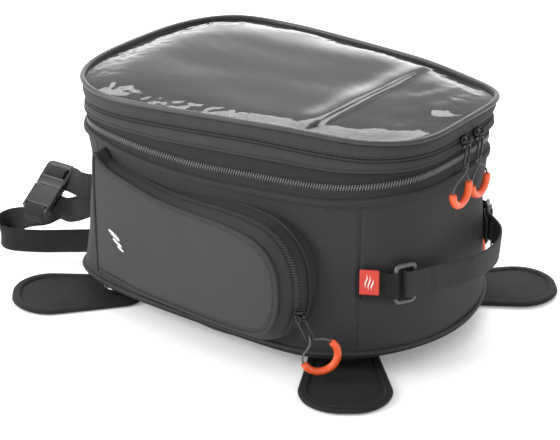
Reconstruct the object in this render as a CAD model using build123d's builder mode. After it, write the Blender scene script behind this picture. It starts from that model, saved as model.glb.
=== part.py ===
from build123d import *
import math
import os

# Motorcycle tank bag, in millimetres. +Z is up, +X points to the rider's end
# with the carrying handle, -Y is the side of the near pocket. The origin is the
# middle of the base, on the surface that the bag stands on.

# Plan of the bag: a super-ellipse that changes evenly from the base to the rim.
BASE_HEIGHT = 24.0
RIM_HEIGHT = 215.0
BASE_HALF_LENGTH = 188.0
RIM_HALF_LENGTH = 185.0
BASE_HALF_WIDTH = 133.5
RIM_HALF_WIDTH = 122.0
BASE_TAPER = -0.03
RIM_TAPER = 0.22
BASE_FRONT_SQUARENESS = 5.3
RIM_FRONT_SQUARENESS = 3.0
BASE_REAR_SQUARENESS = 2.2
RIM_REAR_SQUARENESS = 4.6
BASE_SHIFT = 1.7
OUTLINE_POINTS = 40
OUTLINE_STEPS = 720

# Heights of the layers that make the wall, from the base up.
BOARD_BOTTOM = 16.0
BOARD_TOP = 20.0
SHELL_BOTTOM = 26.0
SHELL_TOP = 161.0
BINDING_TOP = 166.0
EXPANSION_SPLIT = 174.0
RING_BOTTOM = 181.0
RING_TOP = 192.0
LID_SPLIT = 198.0
BAND_BOTTOM = 204.0
BAND_TOP = 210.0
SPLIT_GAP = 0.1

# How far each layer lies inside the plan outline, and how thick it is.
SHELL_INSET = 3.5
WALL = 3.0
BAND_INSET = 3.0
ZIP_INSET = 3.5
EXPANSION_ZIP_INSET = 5.0
TAPE = 2.0
PIPING_DEPTH = 5.0
GUSSET_INSET = 7.3
GUSSET_WALL = 1.5

# Lid top.
PANEL_BOTTOM = 204.5
PANEL_TOP = 207.5
WINDOW_BOTTOM = 213.0
WINDOW_THICKNESS = 0.6
WINDOW_INSET = 5.1
WINDOW_MOUTH_X = 100.0
WINDOW_MOUTH_WIDTH = 6.0
WINDOW_MOUTH_LENGTH = 130.0

# Padded underside that carries the bag between its flaps.
PAD_TOP_RADII = (112.0, 122.0)
PAD_BOTTOM_RADII = (88.0, 100.0)

# Side pockets, drawn in elevation on a plane that leans out towards the rider's end:
# x runs back from the left seam, y is the height, depths are behind the pocket's face.
POCKET_LEFT = -126.0
POCKET_LEFT_Y = 134.0
POCKET_RIGHT_Y = 151.0
POCKET_LENGTH = 219.0
POCKET_LOW = 35.0
POCKET_LOW_LEFT = 45.0
POCKET_HIGH = 132.0
POCKET_HIGH_LEFT = 154.0
POCKET_SLOPE_LENGTH = 90.0
POCKET_CORNER = 30.0
POCKET_SMALL_CORNER = 8.0
POCKET_FLARE = 13.0
POCKET_FLARE_DEPTH = 12.0
POCKET_DEPTH = 45.0
POCKET_WALL = 3.0
POCKET_PIPING = 2.2
POCKET_ZIP_START = 8.0
POCKET_ZIP_END = 16.0
POCKET_ZIP_PROUD = 1.2
FIT_GAP = 0.3

# Handle on the rider's end.
WEB_WIDTH = 25.0
WEB_THICKNESS = 2.0
HANDLE_HEIGHT = 90.0
RING_CENTRE = (174.0, 78.0)
RING_WIDTH = 22.0
RING_HEIGHT = 38.0
RING_BAR = 4.0
SLEEVE_WALL = 1.4
SLEEVE_GAP = 0.2
TAB_LENGTH = 26.0
TAB_ANGLE = 60.0
HANDLE_REACH = 212.0
HANDLE_POINTS = ((202.0, -42.0), (HANDLE_REACH, -16.0), (HANDLE_REACH, 16.0), (202.0, 42.0))
HANDLE_BEND = 24.0
RING_CORNER = 3.0
LABEL_SIZE = (18.0, 24.0, 0.8)
LABEL_GAP = 2.0

# Front strap with its side-release buckle.
STRAP_THICKNESS = 1.6
BUCKLE_CENTRE = (-249.0, -61.0, 68.0)
BUCKLE_TILT = 37.0
BUCKLE_WIDTH = 32.0
BUCKLE_THICKNESS = 8.0
FEMALE_LENGTH = 27.0
MALE_LENGTH = 26.0
PRONG_LENGTH = 17.0
PRONG_OFFSET = 10.0
LADDER_SLOTS = (13.0, 20.5)

# Straps as sections, each a centre, its plane's x direction and a share of the full width,
# and the loose bend of the lower strap in plan.
UPPER_STRAP_SECTIONS = (
    ((-190.5, -60.0, 84.0), (0, 1, 0), 1.0),
    ((-210.0, -58.0, 88.0), (0, 0.85, 0.53), 1.0),
    ((-229.0, -50.0, 92.0), (0, 0.5, 0.87), 0.8),
)
STRAP_TAIL_SECTIONS = (
    ((-191.0, -62.0, 62.0), (0, 1, 0), 0.8),
    ((-222.0, -52.0, 50.0), (0, 0.87, 0.5), 0.9),
    ((-258.0, -48.0, 50.0), (0, 0.8, 0.6), 1.0),
)
LOWER_STRAP_POINTS = (
    (-193, -58), (-218, -50), (-248, -62), (-276, -82), (-300, -86), (-311, -68), (-300, -52), (-285, -54),
)
LOWER_STRAP_BEND = 8.0

# Magnetic flaps and the swivel discs that hold them.
FLAP_THICKNESS = 6.0
FLAP_WIDTH = 86.0
FLAP_REACH = 97.0
FLAP_TAIL = 22.0
FLAP_CORNER = 38.0
FLAP_TAIL_CORNER = 20.0
FLAP_TAIL_HALF_WIDTH = 32.0
DISC_RADIUS = 15.0
LOWER_DISC_TOP = 10.8
UPPER_DISC_BOTTOM = 11.0
SWIVEL_PIN_RADIUS = 4.0
SWIVEL_HOLE_RADIUS = 4.1
FLAPS = {
    "rear_near": (118.0, -87.0, -52.0),
    "rear_far": (124.0, 89.0, 36.0),
    "front_near": (-133.0, -96.0, 222.0),
    "front_far": (-133.0, 96.0, 135.0),
}

# Zipper pulls. Lengths are in the pull's own plane: across, up and outward.
SLIDER_SIZE = (9.0, 11.0, 3.5)
BRIDGE_RADIUS = 1.0
BRIDGE_STANDOFF = 6.8
BRIDGE_UP = 1.5
LUG_THICKNESS = 1.5
EYE_RADIUS = 2.8
EYE_HOLE = 1.7
EYE_WIDTH = 2.4
PULLER_WIDTH = 8.0
PULLER_LENGTH = 24.0
PULLER_THICKNESS = 1.8
SLOT_WIDTH = 4.0
SLOT_LENGTH = 17.0
CORD_DIAMETER = 1.8
CORD_BEND = 2.9
CORD_LOOP = 6.2
CORD_SPREAD = 2.5
CORD_DROP = 4.0
PULLER_RIM = 2.0
POCKET_SLIDER_HEIGHT = 66.0
TUBE_RADIUS = 3.3


def plan_points(height, inset):
    """Evenly spaced points on the plan outline at a height, pulled in by inset."""
    share = (height - BASE_HEIGHT) / (RIM_HEIGHT - BASE_HEIGHT)
    half_length = BASE_HALF_LENGTH + share * (RIM_HALF_LENGTH - BASE_HALF_LENGTH) - inset
    half_width = BASE_HALF_WIDTH + share * (RIM_HALF_WIDTH - BASE_HALF_WIDTH) - inset
    taper = BASE_TAPER + share * (RIM_TAPER - BASE_TAPER)
    front = BASE_FRONT_SQUARENESS + share * (RIM_FRONT_SQUARENESS - BASE_FRONT_SQUARENESS)
    rear = BASE_REAR_SQUARENESS + share * (RIM_REAR_SQUARENESS - BASE_REAR_SQUARENESS)
    shift = BASE_SHIFT * (1 - share)
    outline = []
    for step in range(OUTLINE_STEPS + 1):
        angle = 2 * math.pi * step / OUTLINE_STEPS
        power = 2 / (front + (rear - front) * (0.5 + 0.5 * math.cos(angle)))
        x = half_length * math.copysign(abs(math.cos(angle)) ** power, math.cos(angle))
        y = half_width * math.copysign(abs(math.sin(angle)) ** power, math.sin(angle))
        outline.append((x + shift, y * (1 - taper * x / half_length)))
    lengths = [0.0]
    for first, second in zip(outline, outline[1:]):
        lengths.append(lengths[-1] + math.dist(first, second))
    points = []
    step = 0
    for index in range(OUTLINE_POINTS):
        target = lengths[-1] * index / OUTLINE_POINTS
        while lengths[step + 1] < target:
            step += 1
        part = (target - lengths[step]) / (lengths[step + 1] - lengths[step])
        first, second = outline[step], outline[step + 1]
        points.append((first[0] + part * (second[0] - first[0]), first[1] + part * (second[1] - first[1])))
    return points


def slab(sections):
    """A solid lofted through plan outlines, given as (height, inset) pairs."""
    with BuildPart() as solid:
        for height, inset in sections:
            with BuildSketch(Plane.XY.offset(height)):
                with BuildLine():
                    Spline(*plan_points(height, inset), periodic=True)
                make_face()
        loft(ruled=True)
    return solid.part


def band(sections, inner):
    """A closed wall band: its outer face follows the sections, its inner face has one inset."""
    low, high = sections[0][0], sections[-1][0]
    with BuildPart() as wall:
        add(slab(sections))
        add(slab([(low, inner), (high, inner)]), mode=Mode.SUBTRACT)
    return wall.part


def save(part, name):
    part.label = name
    export_step(part, "parts/" + name + ".step")


os.makedirs("parts", exist_ok=True)


# Wall of the bag, from the base up: base board, base piping, shell, binding, expansion zip.
with BuildPart() as base_board:
    add(slab([(BOARD_BOTTOM, 2.0), (BOARD_TOP, 2.0)]))
save(base_board.part, "base_board")

with BuildPart() as base_pad:
    with BuildSketch(Plane.XY):
        Ellipse(*PAD_BOTTOM_RADII)
    with BuildSketch(Plane.XY.offset(BOARD_BOTTOM)):
        Ellipse(*PAD_TOP_RADII)
    loft()
save(base_pad.part, "base_pad")

piping_middle = (BOARD_TOP + SHELL_BOTTOM) / 2
save(
    band([(BOARD_TOP, 2.0), (piping_middle, 0.0), (SHELL_BOTTOM, 2.0)], PIPING_DEPTH + 1.0),
    "base_piping",
)
save(band([(SHELL_BOTTOM, SHELL_INSET), (SHELL_TOP, SHELL_INSET)], SHELL_INSET + WALL), "body_shell")

binding_middle = (SHELL_TOP + BINDING_TOP) / 2
save(
    band([(SHELL_TOP, 3.0), (binding_middle, 2.0), (BINDING_TOP, 3.0)], SHELL_INSET + WALL),
    "lower_binding",
)
save(
    band(
        [(BINDING_TOP, EXPANSION_ZIP_INSET), (EXPANSION_SPLIT - SPLIT_GAP, EXPANSION_ZIP_INSET)],
        EXPANSION_ZIP_INSET + TAPE,
    ),
    "expansion_zip_lower",
)
save(
    band(
        [(EXPANSION_SPLIT + SPLIT_GAP, EXPANSION_ZIP_INSET), (RING_BOTTOM, EXPANSION_ZIP_INSET)],
        EXPANSION_ZIP_INSET + TAPE,
    ),
    "expansion_zip_upper",
)
save(
    band([(BINDING_TOP, GUSSET_INSET), (RING_BOTTOM, GUSSET_INSET)], GUSSET_INSET + GUSSET_WALL),
    "expansion_gusset",
)

# Upper ring, main zip and lid.
save(band([(RING_BOTTOM, BAND_INSET), (RING_TOP, BAND_INSET)], BAND_INSET + WALL), "upper_ring")
save(
    band([(RING_TOP, ZIP_INSET), (LID_SPLIT - SPLIT_GAP, ZIP_INSET)], ZIP_INSET + TAPE),
    "main_zip_lower",
)
save(
    band([(LID_SPLIT + SPLIT_GAP, ZIP_INSET), (BAND_BOTTOM, ZIP_INSET)], ZIP_INSET + TAPE),
    "main_zip_upper",
)
save(band([(BAND_BOTTOM, BAND_INSET), (BAND_TOP, BAND_INSET)], BAND_INSET + WALL), "lid_band")
save(
    slab([(PANEL_BOTTOM, BAND_INSET + WALL), (PANEL_TOP, BAND_INSET + WALL)]),
    "lid_panel",
)
rim_middle = (BAND_TOP + RIM_HEIGHT) / 2
save(
    band([(BAND_TOP, 1.0), (rim_middle, 0.0), (RIM_HEIGHT, 1.0)], PIPING_DEPTH),
    "rim_piping",
)

with BuildPart() as map_window:
    add(slab([(WINDOW_BOTTOM, WINDOW_INSET), (WINDOW_BOTTOM + WINDOW_THICKNESS, WINDOW_INSET)]))
    with Locations((WINDOW_MOUTH_X, 0, WINDOW_BOTTOM)):
        Box(WINDOW_MOUTH_WIDTH, WINDOW_MOUTH_LENGTH, 4 * WINDOW_THICKNESS, mode=Mode.SUBTRACT)
save(map_window.part, "map_window")


# Side pockets. Each is an open-backed box whose back edge follows the shell.
pocket_lean = math.atan2(POCKET_RIGHT_Y - POCKET_LEFT_Y, POCKET_LENGTH)
pocket_plane = Plane(
    origin=(POCKET_LEFT, -POCKET_LEFT_Y, 0),
    x_dir=(math.cos(pocket_lean), -math.sin(pocket_lean), 0),
    z_dir=(-math.sin(pocket_lean), -math.cos(pocket_lean), 0),
)


def pocket_outline(grow):
    """Corner points of the pocket in elevation, grown outward, least at its left seam."""
    left = -0.3 * grow
    right = POCKET_LENGTH + grow
    low = -0.6 * grow
    high = 0.6 * grow
    return [
        (left, POCKET_LOW_LEFT + low),
        (POCKET_SLOPE_LENGTH - 30.0, POCKET_LOW + low),
        (right, POCKET_LOW + low),
        (right, POCKET_HIGH + high),
        (POCKET_SLOPE_LENGTH, POCKET_HIGH + 1.0 + high),
        (left, POCKET_HIGH_LEFT + high),
    ]


def pocket_block(sections):
    """A solid lofted through pocket outlines, given as (depth, grow) pairs."""
    with BuildPart() as block:
        for depth, grow in sections:
            radii = [POCKET_SMALL_CORNER] * 6
            radii[2] = POCKET_CORNER + 0.4 * grow
            radii[3] = radii[2]
            with BuildSketch(pocket_plane.offset(-depth)):
                with BuildLine():
                    FilletPolyline(*pocket_outline(grow), radius=radii, close=True)
                make_face()
        loft(ruled=True)
    return block.part


def grow_at(depth):
    """How much the gusset has widened at a depth behind the pocket's face."""
    return POCKET_FLARE * min(depth / POCKET_FLARE_DEPTH, 1.0)


shell_clearance = slab([(SHELL_BOTTOM, SHELL_INSET - FIT_GAP), (SHELL_TOP, SHELL_INSET - FIT_GAP)])
binding_clearance = slab([(SHELL_TOP, 2.0 - FIT_GAP), (BINDING_TOP, 2.0 - FIT_GAP)])
piping_clearance = slab([(BOARD_TOP - 4.0, -FIT_GAP), (SHELL_BOTTOM, -FIT_GAP)])

with BuildPart() as near_pocket:
    add(pocket_block([(0, 0), (POCKET_FLARE_DEPTH, POCKET_FLARE), (POCKET_DEPTH, POCKET_FLARE)]))
    add(
        pocket_block([
            (POCKET_WALL, grow_at(POCKET_WALL) - POCKET_WALL),
            (POCKET_FLARE_DEPTH, POCKET_FLARE - POCKET_WALL),
            (POCKET_DEPTH + 1.0, POCKET_FLARE - POCKET_WALL),
        ]),
        mode=Mode.SUBTRACT,
    )
    add(shell_clearance, mode=Mode.SUBTRACT)
    add(binding_clearance, mode=Mode.SUBTRACT)
    add(piping_clearance, mode=Mode.SUBTRACT)

with BuildPart() as near_pocket_piping:
    add(pocket_block([(-POCKET_PIPING, 0), (0, 0)]))
    add(pocket_block([(-2 * POCKET_PIPING, -POCKET_PIPING), (1.0, -POCKET_PIPING)]), mode=Mode.SUBTRACT)

with BuildPart() as near_pocket_zip:
    add(
        pocket_block([
            (POCKET_ZIP_START, grow_at(POCKET_ZIP_START) + POCKET_ZIP_PROUD),
            (POCKET_FLARE_DEPTH, POCKET_FLARE + POCKET_ZIP_PROUD),
            (POCKET_ZIP_END, POCKET_FLARE + POCKET_ZIP_PROUD),
        ])
    )
    add(
        pocket_block([
            (0, 0.02),
            (POCKET_FLARE_DEPTH, POCKET_FLARE + 0.02),
            (POCKET_DEPTH, POCKET_FLARE + 0.02),
        ]),
        mode=Mode.SUBTRACT,
    )
    # The zip runs along the top and down the right side only.
    with Locations(pocket_plane.location * Location((0, POCKET_HIGH, 0))):
        Box(40, 300, 200, mode=Mode.SUBTRACT)
    with Locations(pocket_plane.location * Location((POCKET_LENGTH / 2, POCKET_LOW - 20.0, 0))):
        Box(600, 80, 200, mode=Mode.SUBTRACT)
    add(shell_clearance, mode=Mode.SUBTRACT)

for side_name, side in (("near", -1), ("far", 1)):
    for solid, suffix in (
        (near_pocket.part, "pocket"),
        (near_pocket_piping.part, "pocket_piping"),
        (near_pocket_zip.part, "pocket_zip"),
    ):
        side_solid = solid if side == -1 else mirror(solid, about=Plane.XZ)
        save(side_solid, side_name + "_" + suffix)


# Handle: two rings in sewn anchor tabs, with one webbing between them.
tab_direction = (math.cos(math.radians(TAB_ANGLE)), math.sin(math.radians(TAB_ANGLE)))


def side_plane(side):
    """Plane of one ring: x along the bag's corner, y up, z outward. side is -1 near, 1 far."""
    outward = (tab_direction[1], side * tab_direction[0], 0)
    along = (-outward[1], outward[0], 0)
    centre = (RING_CENTRE[0], side * RING_CENTRE[1], HANDLE_HEIGHT)
    return Plane(origin=centre, x_dir=along, z_dir=outward)


sleeve_inner = RING_BAR + 2 * SLEEVE_GAP
sleeve_outer = sleeve_inner + 2 * SLEEVE_WALL
bar_offset = (RING_WIDTH - RING_BAR) / 2

for side_name, side in (("near", -1), ("far", 1)):
    plane = side_plane(side)
    inward = side * bar_offset
    with BuildPart() as ring:
        with BuildSketch(plane.offset(-RING_BAR / 2)):
            RectangleRounded(RING_WIDTH, RING_HEIGHT, RING_CORNER)
            RectangleRounded(RING_WIDTH - 2 * RING_BAR, RING_HEIGHT - 2 * RING_BAR, 1.0, mode=Mode.SUBTRACT)
        extrude(amount=RING_BAR)
    save(ring.part, side_name + "_ring")

    with BuildPart(plane) as tab:
        with Locations((inward, 0, 0)):
            Box(sleeve_outer, WEB_WIDTH, sleeve_outer)
            Box(sleeve_inner, WEB_WIDTH + 1.0, sleeve_inner, mode=Mode.SUBTRACT)
        with Locations((inward + side * (sleeve_outer + TAB_LENGTH) / 2, 0, -sleeve_outer / 2 + SLEEVE_WALL)):
            Box(TAB_LENGTH, WEB_WIDTH, 2 * SLEEVE_WALL)
        add(shell_clearance, mode=Mode.SUBTRACT)
    save(tab.part, side_name + "_anchor_tab")

label_plane = side_plane(-1)
with BuildPart(label_plane) as side_label:
    label_offset = -(bar_offset + (sleeve_outer + TAB_LENGTH) / 2 + LABEL_GAP)
    label_height = -sleeve_outer / 2 + 2.5 * SLEEVE_WALL + LABEL_SIZE[2] / 2
    with Locations((label_offset, 1.0, label_height)):
        Box(*LABEL_SIZE)
save(side_label.part, "side_label")

near_end = side_plane(-1).from_local_coords((bar_offset + sleeve_inner / 2 + 0.3, 0, 0))
with BuildPart() as handle_webbing:
    handle_points = [(near_end.X, near_end.Y), *HANDLE_POINTS, (near_end.X, -near_end.Y)]
    with BuildLine(Plane.XY.offset(HANDLE_HEIGHT)) as handle_path:
        FilletPolyline(*handle_points, radius=HANDLE_BEND)
    with BuildSketch(Plane(origin=handle_path.line @ 0, z_dir=handle_path.line % 0, x_dir=(0, 0, 1))):
        Rectangle(WEB_WIDTH, WEB_THICKNESS)
    sweep()
    for side in (-1, 1):
        loop_plane = side_plane(side)
        with Locations(loop_plane.location * Location((-side * bar_offset, 0, 0))):
            Box(sleeve_outer, WEB_WIDTH, sleeve_outer)
            Box(sleeve_inner, WEB_WIDTH + 1.0, sleeve_inner, mode=Mode.SUBTRACT)
save(handle_webbing.part, "handle_webbing")


# Front strap and buckle. The buckle's own plane has x across, y along to the male end, z outward.
tilt = math.radians(BUCKLE_TILT)
buckle_plane = Plane(
    origin=BUCKLE_CENTRE,
    x_dir=(1, 0, 0),
    z_dir=(0, -math.sin(tilt), math.cos(tilt)),
)

with BuildPart(buckle_plane) as buckle_female:
    with Locations((0, -FEMALE_LENGTH / 2, 0)):
        Box(BUCKLE_WIDTH, FEMALE_LENGTH, BUCKLE_THICKNESS)
    with Locations((0, -9.0, 0)):
        Box(BUCKLE_WIDTH - 5.0, 19.0, BUCKLE_THICKNESS - 3.0, mode=Mode.SUBTRACT)
    for side in (-1, 1):
        with Locations((side * BUCKLE_WIDTH / 2, -11.0, 0)):
            Box(8.0, 9.0, BUCKLE_THICKNESS - 3.0, mode=Mode.SUBTRACT)
    with Locations((0, -FEMALE_LENGTH + 4.0, 0)):
        Box(WEB_WIDTH + 1.0, 3.0, BUCKLE_THICKNESS + 1.0, mode=Mode.SUBTRACT)
save(buckle_female.part, "buckle_female")

with BuildPart(buckle_plane) as buckle_male:
    with Locations((0, 0.3 + MALE_LENGTH / 2, 0)):
        Box(BUCKLE_WIDTH, MALE_LENGTH, BUCKLE_THICKNESS - 1.0)
    for offset in LADDER_SLOTS:
        with Locations((0, offset, 0)):
            Box(WEB_WIDTH + 1.0, 4.0, BUCKLE_THICKNESS + 1.0, mode=Mode.SUBTRACT)
    for side in (-1, 1):
        with Locations((side * PRONG_OFFSET, -PRONG_LENGTH / 2 + 0.5, 0)):
            Box(3.0, PRONG_LENGTH, BUCKLE_THICKNESS - 4.0)
    with Locations((0, -5.0, 0)):
        Box(4.0, 12.0, BUCKLE_THICKNESS - 4.0)
save(buckle_male.part, "buckle_male")

with BuildPart() as upper_strap:
    for centre, thin_way, share in UPPER_STRAP_SECTIONS:
        with BuildSketch(Plane(origin=centre, x_dir=thin_way, z_dir=(-1, 0, 0))):
            Rectangle(STRAP_THICKNESS, WEB_WIDTH * share)
    loft()
save(upper_strap.part, "upper_strap")

with BuildPart() as strap_tail:
    for centre, wide_way, share in STRAP_TAIL_SECTIONS:
        with BuildSketch(Plane(origin=centre, x_dir=wide_way, z_dir=(-1, 0, 0))):
            Rectangle(WEB_WIDTH * share, STRAP_THICKNESS)
    loft()
save(strap_tail.part, "strap_tail")

with BuildPart() as lower_strap:
    with BuildLine(Plane.XY.offset(WEB_WIDTH / 2)) as strap_path:
        FilletPolyline(*LOWER_STRAP_POINTS, radius=LOWER_STRAP_BEND)
    with BuildSketch(Plane(origin=strap_path.line @ 0, z_dir=strap_path.line % 0, x_dir=(0, 0, 1))):
        Rectangle(WEB_WIDTH, STRAP_THICKNESS)
    sweep()
save(lower_strap.part, "lower_strap")


# Magnetic flaps on their swivel discs.
for flap_name, (pivot_x, pivot_y, angle) in FLAPS.items():
    direction = (math.cos(math.radians(angle)), math.sin(math.radians(angle)), 0)
    flap_plane = Plane(origin=(pivot_x, pivot_y, 0), x_dir=direction, z_dir=(0, 0, 1))
    with BuildPart() as flap:
        with BuildSketch(flap_plane):
            for end_x, end_y, end_radius in (
                (FLAP_REACH - FLAP_CORNER, FLAP_WIDTH / 2 - FLAP_CORNER, FLAP_CORNER),
                (FLAP_TAIL_CORNER - FLAP_TAIL, FLAP_TAIL_HALF_WIDTH - FLAP_TAIL_CORNER, FLAP_TAIL_CORNER),
            ):
                with Locations((end_x, end_y), (end_x, -end_y)):
                    Circle(end_radius)
            make_hull()
        extrude(amount=FLAP_THICKNESS)
        chamfer(flap.faces().sort_by(Axis.Z)[-1].edges(), 1.6)
    save(flap.part, flap_name + "_flap")

    with BuildPart() as disc:
        with BuildSketch(Plane.XY.offset(FLAP_THICKNESS)):
            with Locations((pivot_x, pivot_y)):
                Circle(DISC_RADIUS)
                Circle(SWIVEL_HOLE_RADIUS, mode=Mode.SUBTRACT)
        extrude(amount=LOWER_DISC_TOP - FLAP_THICKNESS)
    save(disc.part, flap_name + "_lower_disc")

with BuildPart() as upper_discs:
    pivots = [(pivot_x, pivot_y) for pivot_x, pivot_y, angle in FLAPS.values()]
    with BuildSketch(Plane.XY.offset(UPPER_DISC_BOTTOM)):
        with Locations(*pivots):
            Circle(DISC_RADIUS)
    extrude(amount=BOARD_BOTTOM - UPPER_DISC_BOTTOM)
    with BuildSketch(Plane.XY.offset(FLAP_THICKNESS + 0.4)):
        with Locations(*pivots):
            Circle(SWIVEL_PIN_RADIUS)
    extrude(amount=UPPER_DISC_BOTTOM - FLAP_THICKNESS - 0.4)
save(upper_discs.part, "upper_discs")


# Zipper pulls: a slider with its bridge bar, a slotted puller, a cord loop and a soft tube grip.
def pull_plane(origin, outward):
    """Plane with x across, y up and z outward from the zip."""
    return Plane(origin=origin, x_dir=(-outward[1], outward[0], 0), z_dir=outward)


def make_slider(name, plane):
    across, up, out = SLIDER_SIZE
    with BuildPart(plane) as slider:
        with Locations((0, 0, out / 2)):
            Box(across, up, out)
        for side in (-1, 1):
            with Locations((side * (across - LUG_THICKNESS) / 2, BRIDGE_UP, (out + BRIDGE_STANDOFF) / 2 + 0.5)):
                Box(LUG_THICKNESS, 3.0, BRIDGE_STANDOFF - out + 1.0)
        with Locations(Location((0, BRIDGE_UP, BRIDGE_STANDOFF), (0, 90, 0))):
            Cylinder(BRIDGE_RADIUS, across)
    save(slider.part, name + "_slider")


def leaning_plane(plane, lean):
    """Plane of a hanging puller: its origin is on the bridge bar, turned by lean degrees."""
    return Plane(plane.location * Location((0, BRIDGE_UP, BRIDGE_STANDOFF), (0, 0, lean)))


def make_puller(name, plane, lean):
    hang = leaning_plane(plane, lean)
    plate_length = PULLER_LENGTH - EYE_RADIUS
    with BuildPart(hang) as puller:
        with Locations((0, -PULLER_LENGTH / 4, 0)):
            Box(EYE_WIDTH, PULLER_LENGTH / 2, PULLER_THICKNESS)
        with BuildSketch(hang.offset(-PULLER_THICKNESS / 2)):
            with Locations((0, -EYE_RADIUS - plate_length / 2)):
                RectangleRounded(PULLER_WIDTH, plate_length, 3.6)
        extrude(amount=PULLER_THICKNESS)
        with Locations(Location((0, 0, 0), (0, 90, 0))):
            Cylinder(EYE_RADIUS, EYE_WIDTH)
            Cylinder(EYE_HOLE, EYE_WIDTH + 1.0, mode=Mode.SUBTRACT)
        with BuildSketch(hang.offset(-PULLER_THICKNESS)):
            with Locations((0, PULLER_RIM + SLOT_LENGTH / 2 - PULLER_LENGTH)):
                RectangleRounded(SLOT_WIDTH, SLOT_LENGTH, SLOT_WIDTH / 2 - 0.1)
        extrude(amount=2 * PULLER_THICKNESS, mode=Mode.SUBTRACT)
    save(puller.part, name + "_puller")


def make_grip(name, plane, lean, hand, stand_off, first_end, low_point, second_end):
    """Cord loop through the puller's slot, and the tube that joins its two ends."""
    ends = []
    for across, up in (first_end, low_point, second_end):
        ends.append(plane.from_local_coords((hand * across, up, BRIDGE_STANDOFF + stand_off)))
    with BuildPart() as tube:
        with BuildLine() as tube_path:
            ThreePointArc(*ends)
        with BuildSketch(Plane(origin=tube_path.line @ 0, z_dir=tube_path.line % 0)):
            Circle(TUBE_RADIUS)
        sweep()
    save(tube.part, name + "_tube")

    hang = leaning_plane(plane, hand * lean)
    bar = PULLER_RIM / 2 - PULLER_LENGTH
    route = [
        ends[0],
        ends[0] - tube_path.line % 0 * CORD_LOOP,
        hang.from_local_coords((-hand * CORD_SPREAD, bar - CORD_DROP, CORD_BEND)),
        hang.from_local_coords((-hand * 0.3, bar + CORD_BEND, CORD_BEND)),
        hang.from_local_coords((hand * 0.3, bar + CORD_BEND, -CORD_BEND)),
        hang.from_local_coords((hand * CORD_SPREAD, bar - CORD_DROP, -CORD_BEND)),
        ends[2] + tube_path.line % 1 * CORD_LOOP,
        ends[2],
    ]
    radii = []
    for before, corner, after in zip(route, route[1:], route[2:]):
        turn = (corner - before).get_angle(after - corner)
        shorter = min((corner - before).length, (after - corner).length)
        radii.append(0.45 * shorter / math.tan(math.radians(turn) / 2))
    print(name, "cord radii", [round(radius, 1) for radius in radii])
    with BuildPart() as cord:
        with BuildLine() as cord_path:
            FilletPolyline(*route, radius=radii)
        with BuildSketch(Plane(origin=cord_path.line @ 0, z_dir=cord_path.line % 0)):
            Circle(CORD_DIAMETER / 2)
        sweep()
    section = math.pi * CORD_DIAMETER**2 / 4
    length = sum(edge.length for edge in cord_path.edges())
    print(name, "cord length", round(length, 1))
    print(name, "cord volume over section times length", round(cord.part.volume / section / length, 3))
    save(cord.part, name + "_cord")


lid_face = max(point[0] for point in plan_points(RING_TOP, ZIP_INSET)) + FIT_GAP
LID_PULLS = {
    "lid_a": (-4.0, -12.0, 7.2, (-37.0, -33.5), (-26.0, -47.0), (-11.0, -30.0)),
    "lid_b": (18.0, -12.0, 0.0, (-14.0, -43.0), (1.0, -55.0), (12.0, -40.0)),
}
for name, (slider_y, lean, stand_off, first_end, low_point, second_end) in LID_PULLS.items():
    plane = pull_plane((lid_face, slider_y, LID_SPLIT), (1, 0, 0))
    make_slider(name, plane)
    make_puller(name, plane, lean)
    make_grip(name, plane, lean, 1, stand_off, first_end, low_point, second_end)

zip_corner = pocket_plane.from_local_coords(
    (POCKET_LENGTH + POCKET_FLARE + POCKET_ZIP_PROUD + 0.5, POCKET_SLIDER_HEIGHT, -POCKET_FLARE_DEPTH + 2.0)
)
for side_name, hand in (("near", 1), ("far", -1)):
    name = side_name + "_pocket"
    outward = (math.cos(math.radians(45)), -hand * math.sin(math.radians(45)), 0)
    plane = pull_plane((zip_corner.X, hand * zip_corner.Y, zip_corner.Z), outward)
    make_slider(name, plane)
    make_puller(name, plane, hand * 24.0)
    make_grip(name, plane, 24.0, hand, 1.0, (3.0, -42.0), (22.0, -50.0), (27.0, -23.0))

expansion_y = max(point[1] for point in plan_points(EXPANSION_SPLIT, EXPANSION_ZIP_INSET) if point[0] > -20)
plane = Plane(origin=(-10.0, expansion_y + 2.5, EXPANSION_SPLIT), x_dir=(-1, 0, 0), z_dir=(0, 1, 0))
make_slider("expansion", plane)
make_puller("expansion", plane, 0.0)
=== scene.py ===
import math

import bpy
import numpy as np
from mathutils import Matrix, Vector, noise


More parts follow.
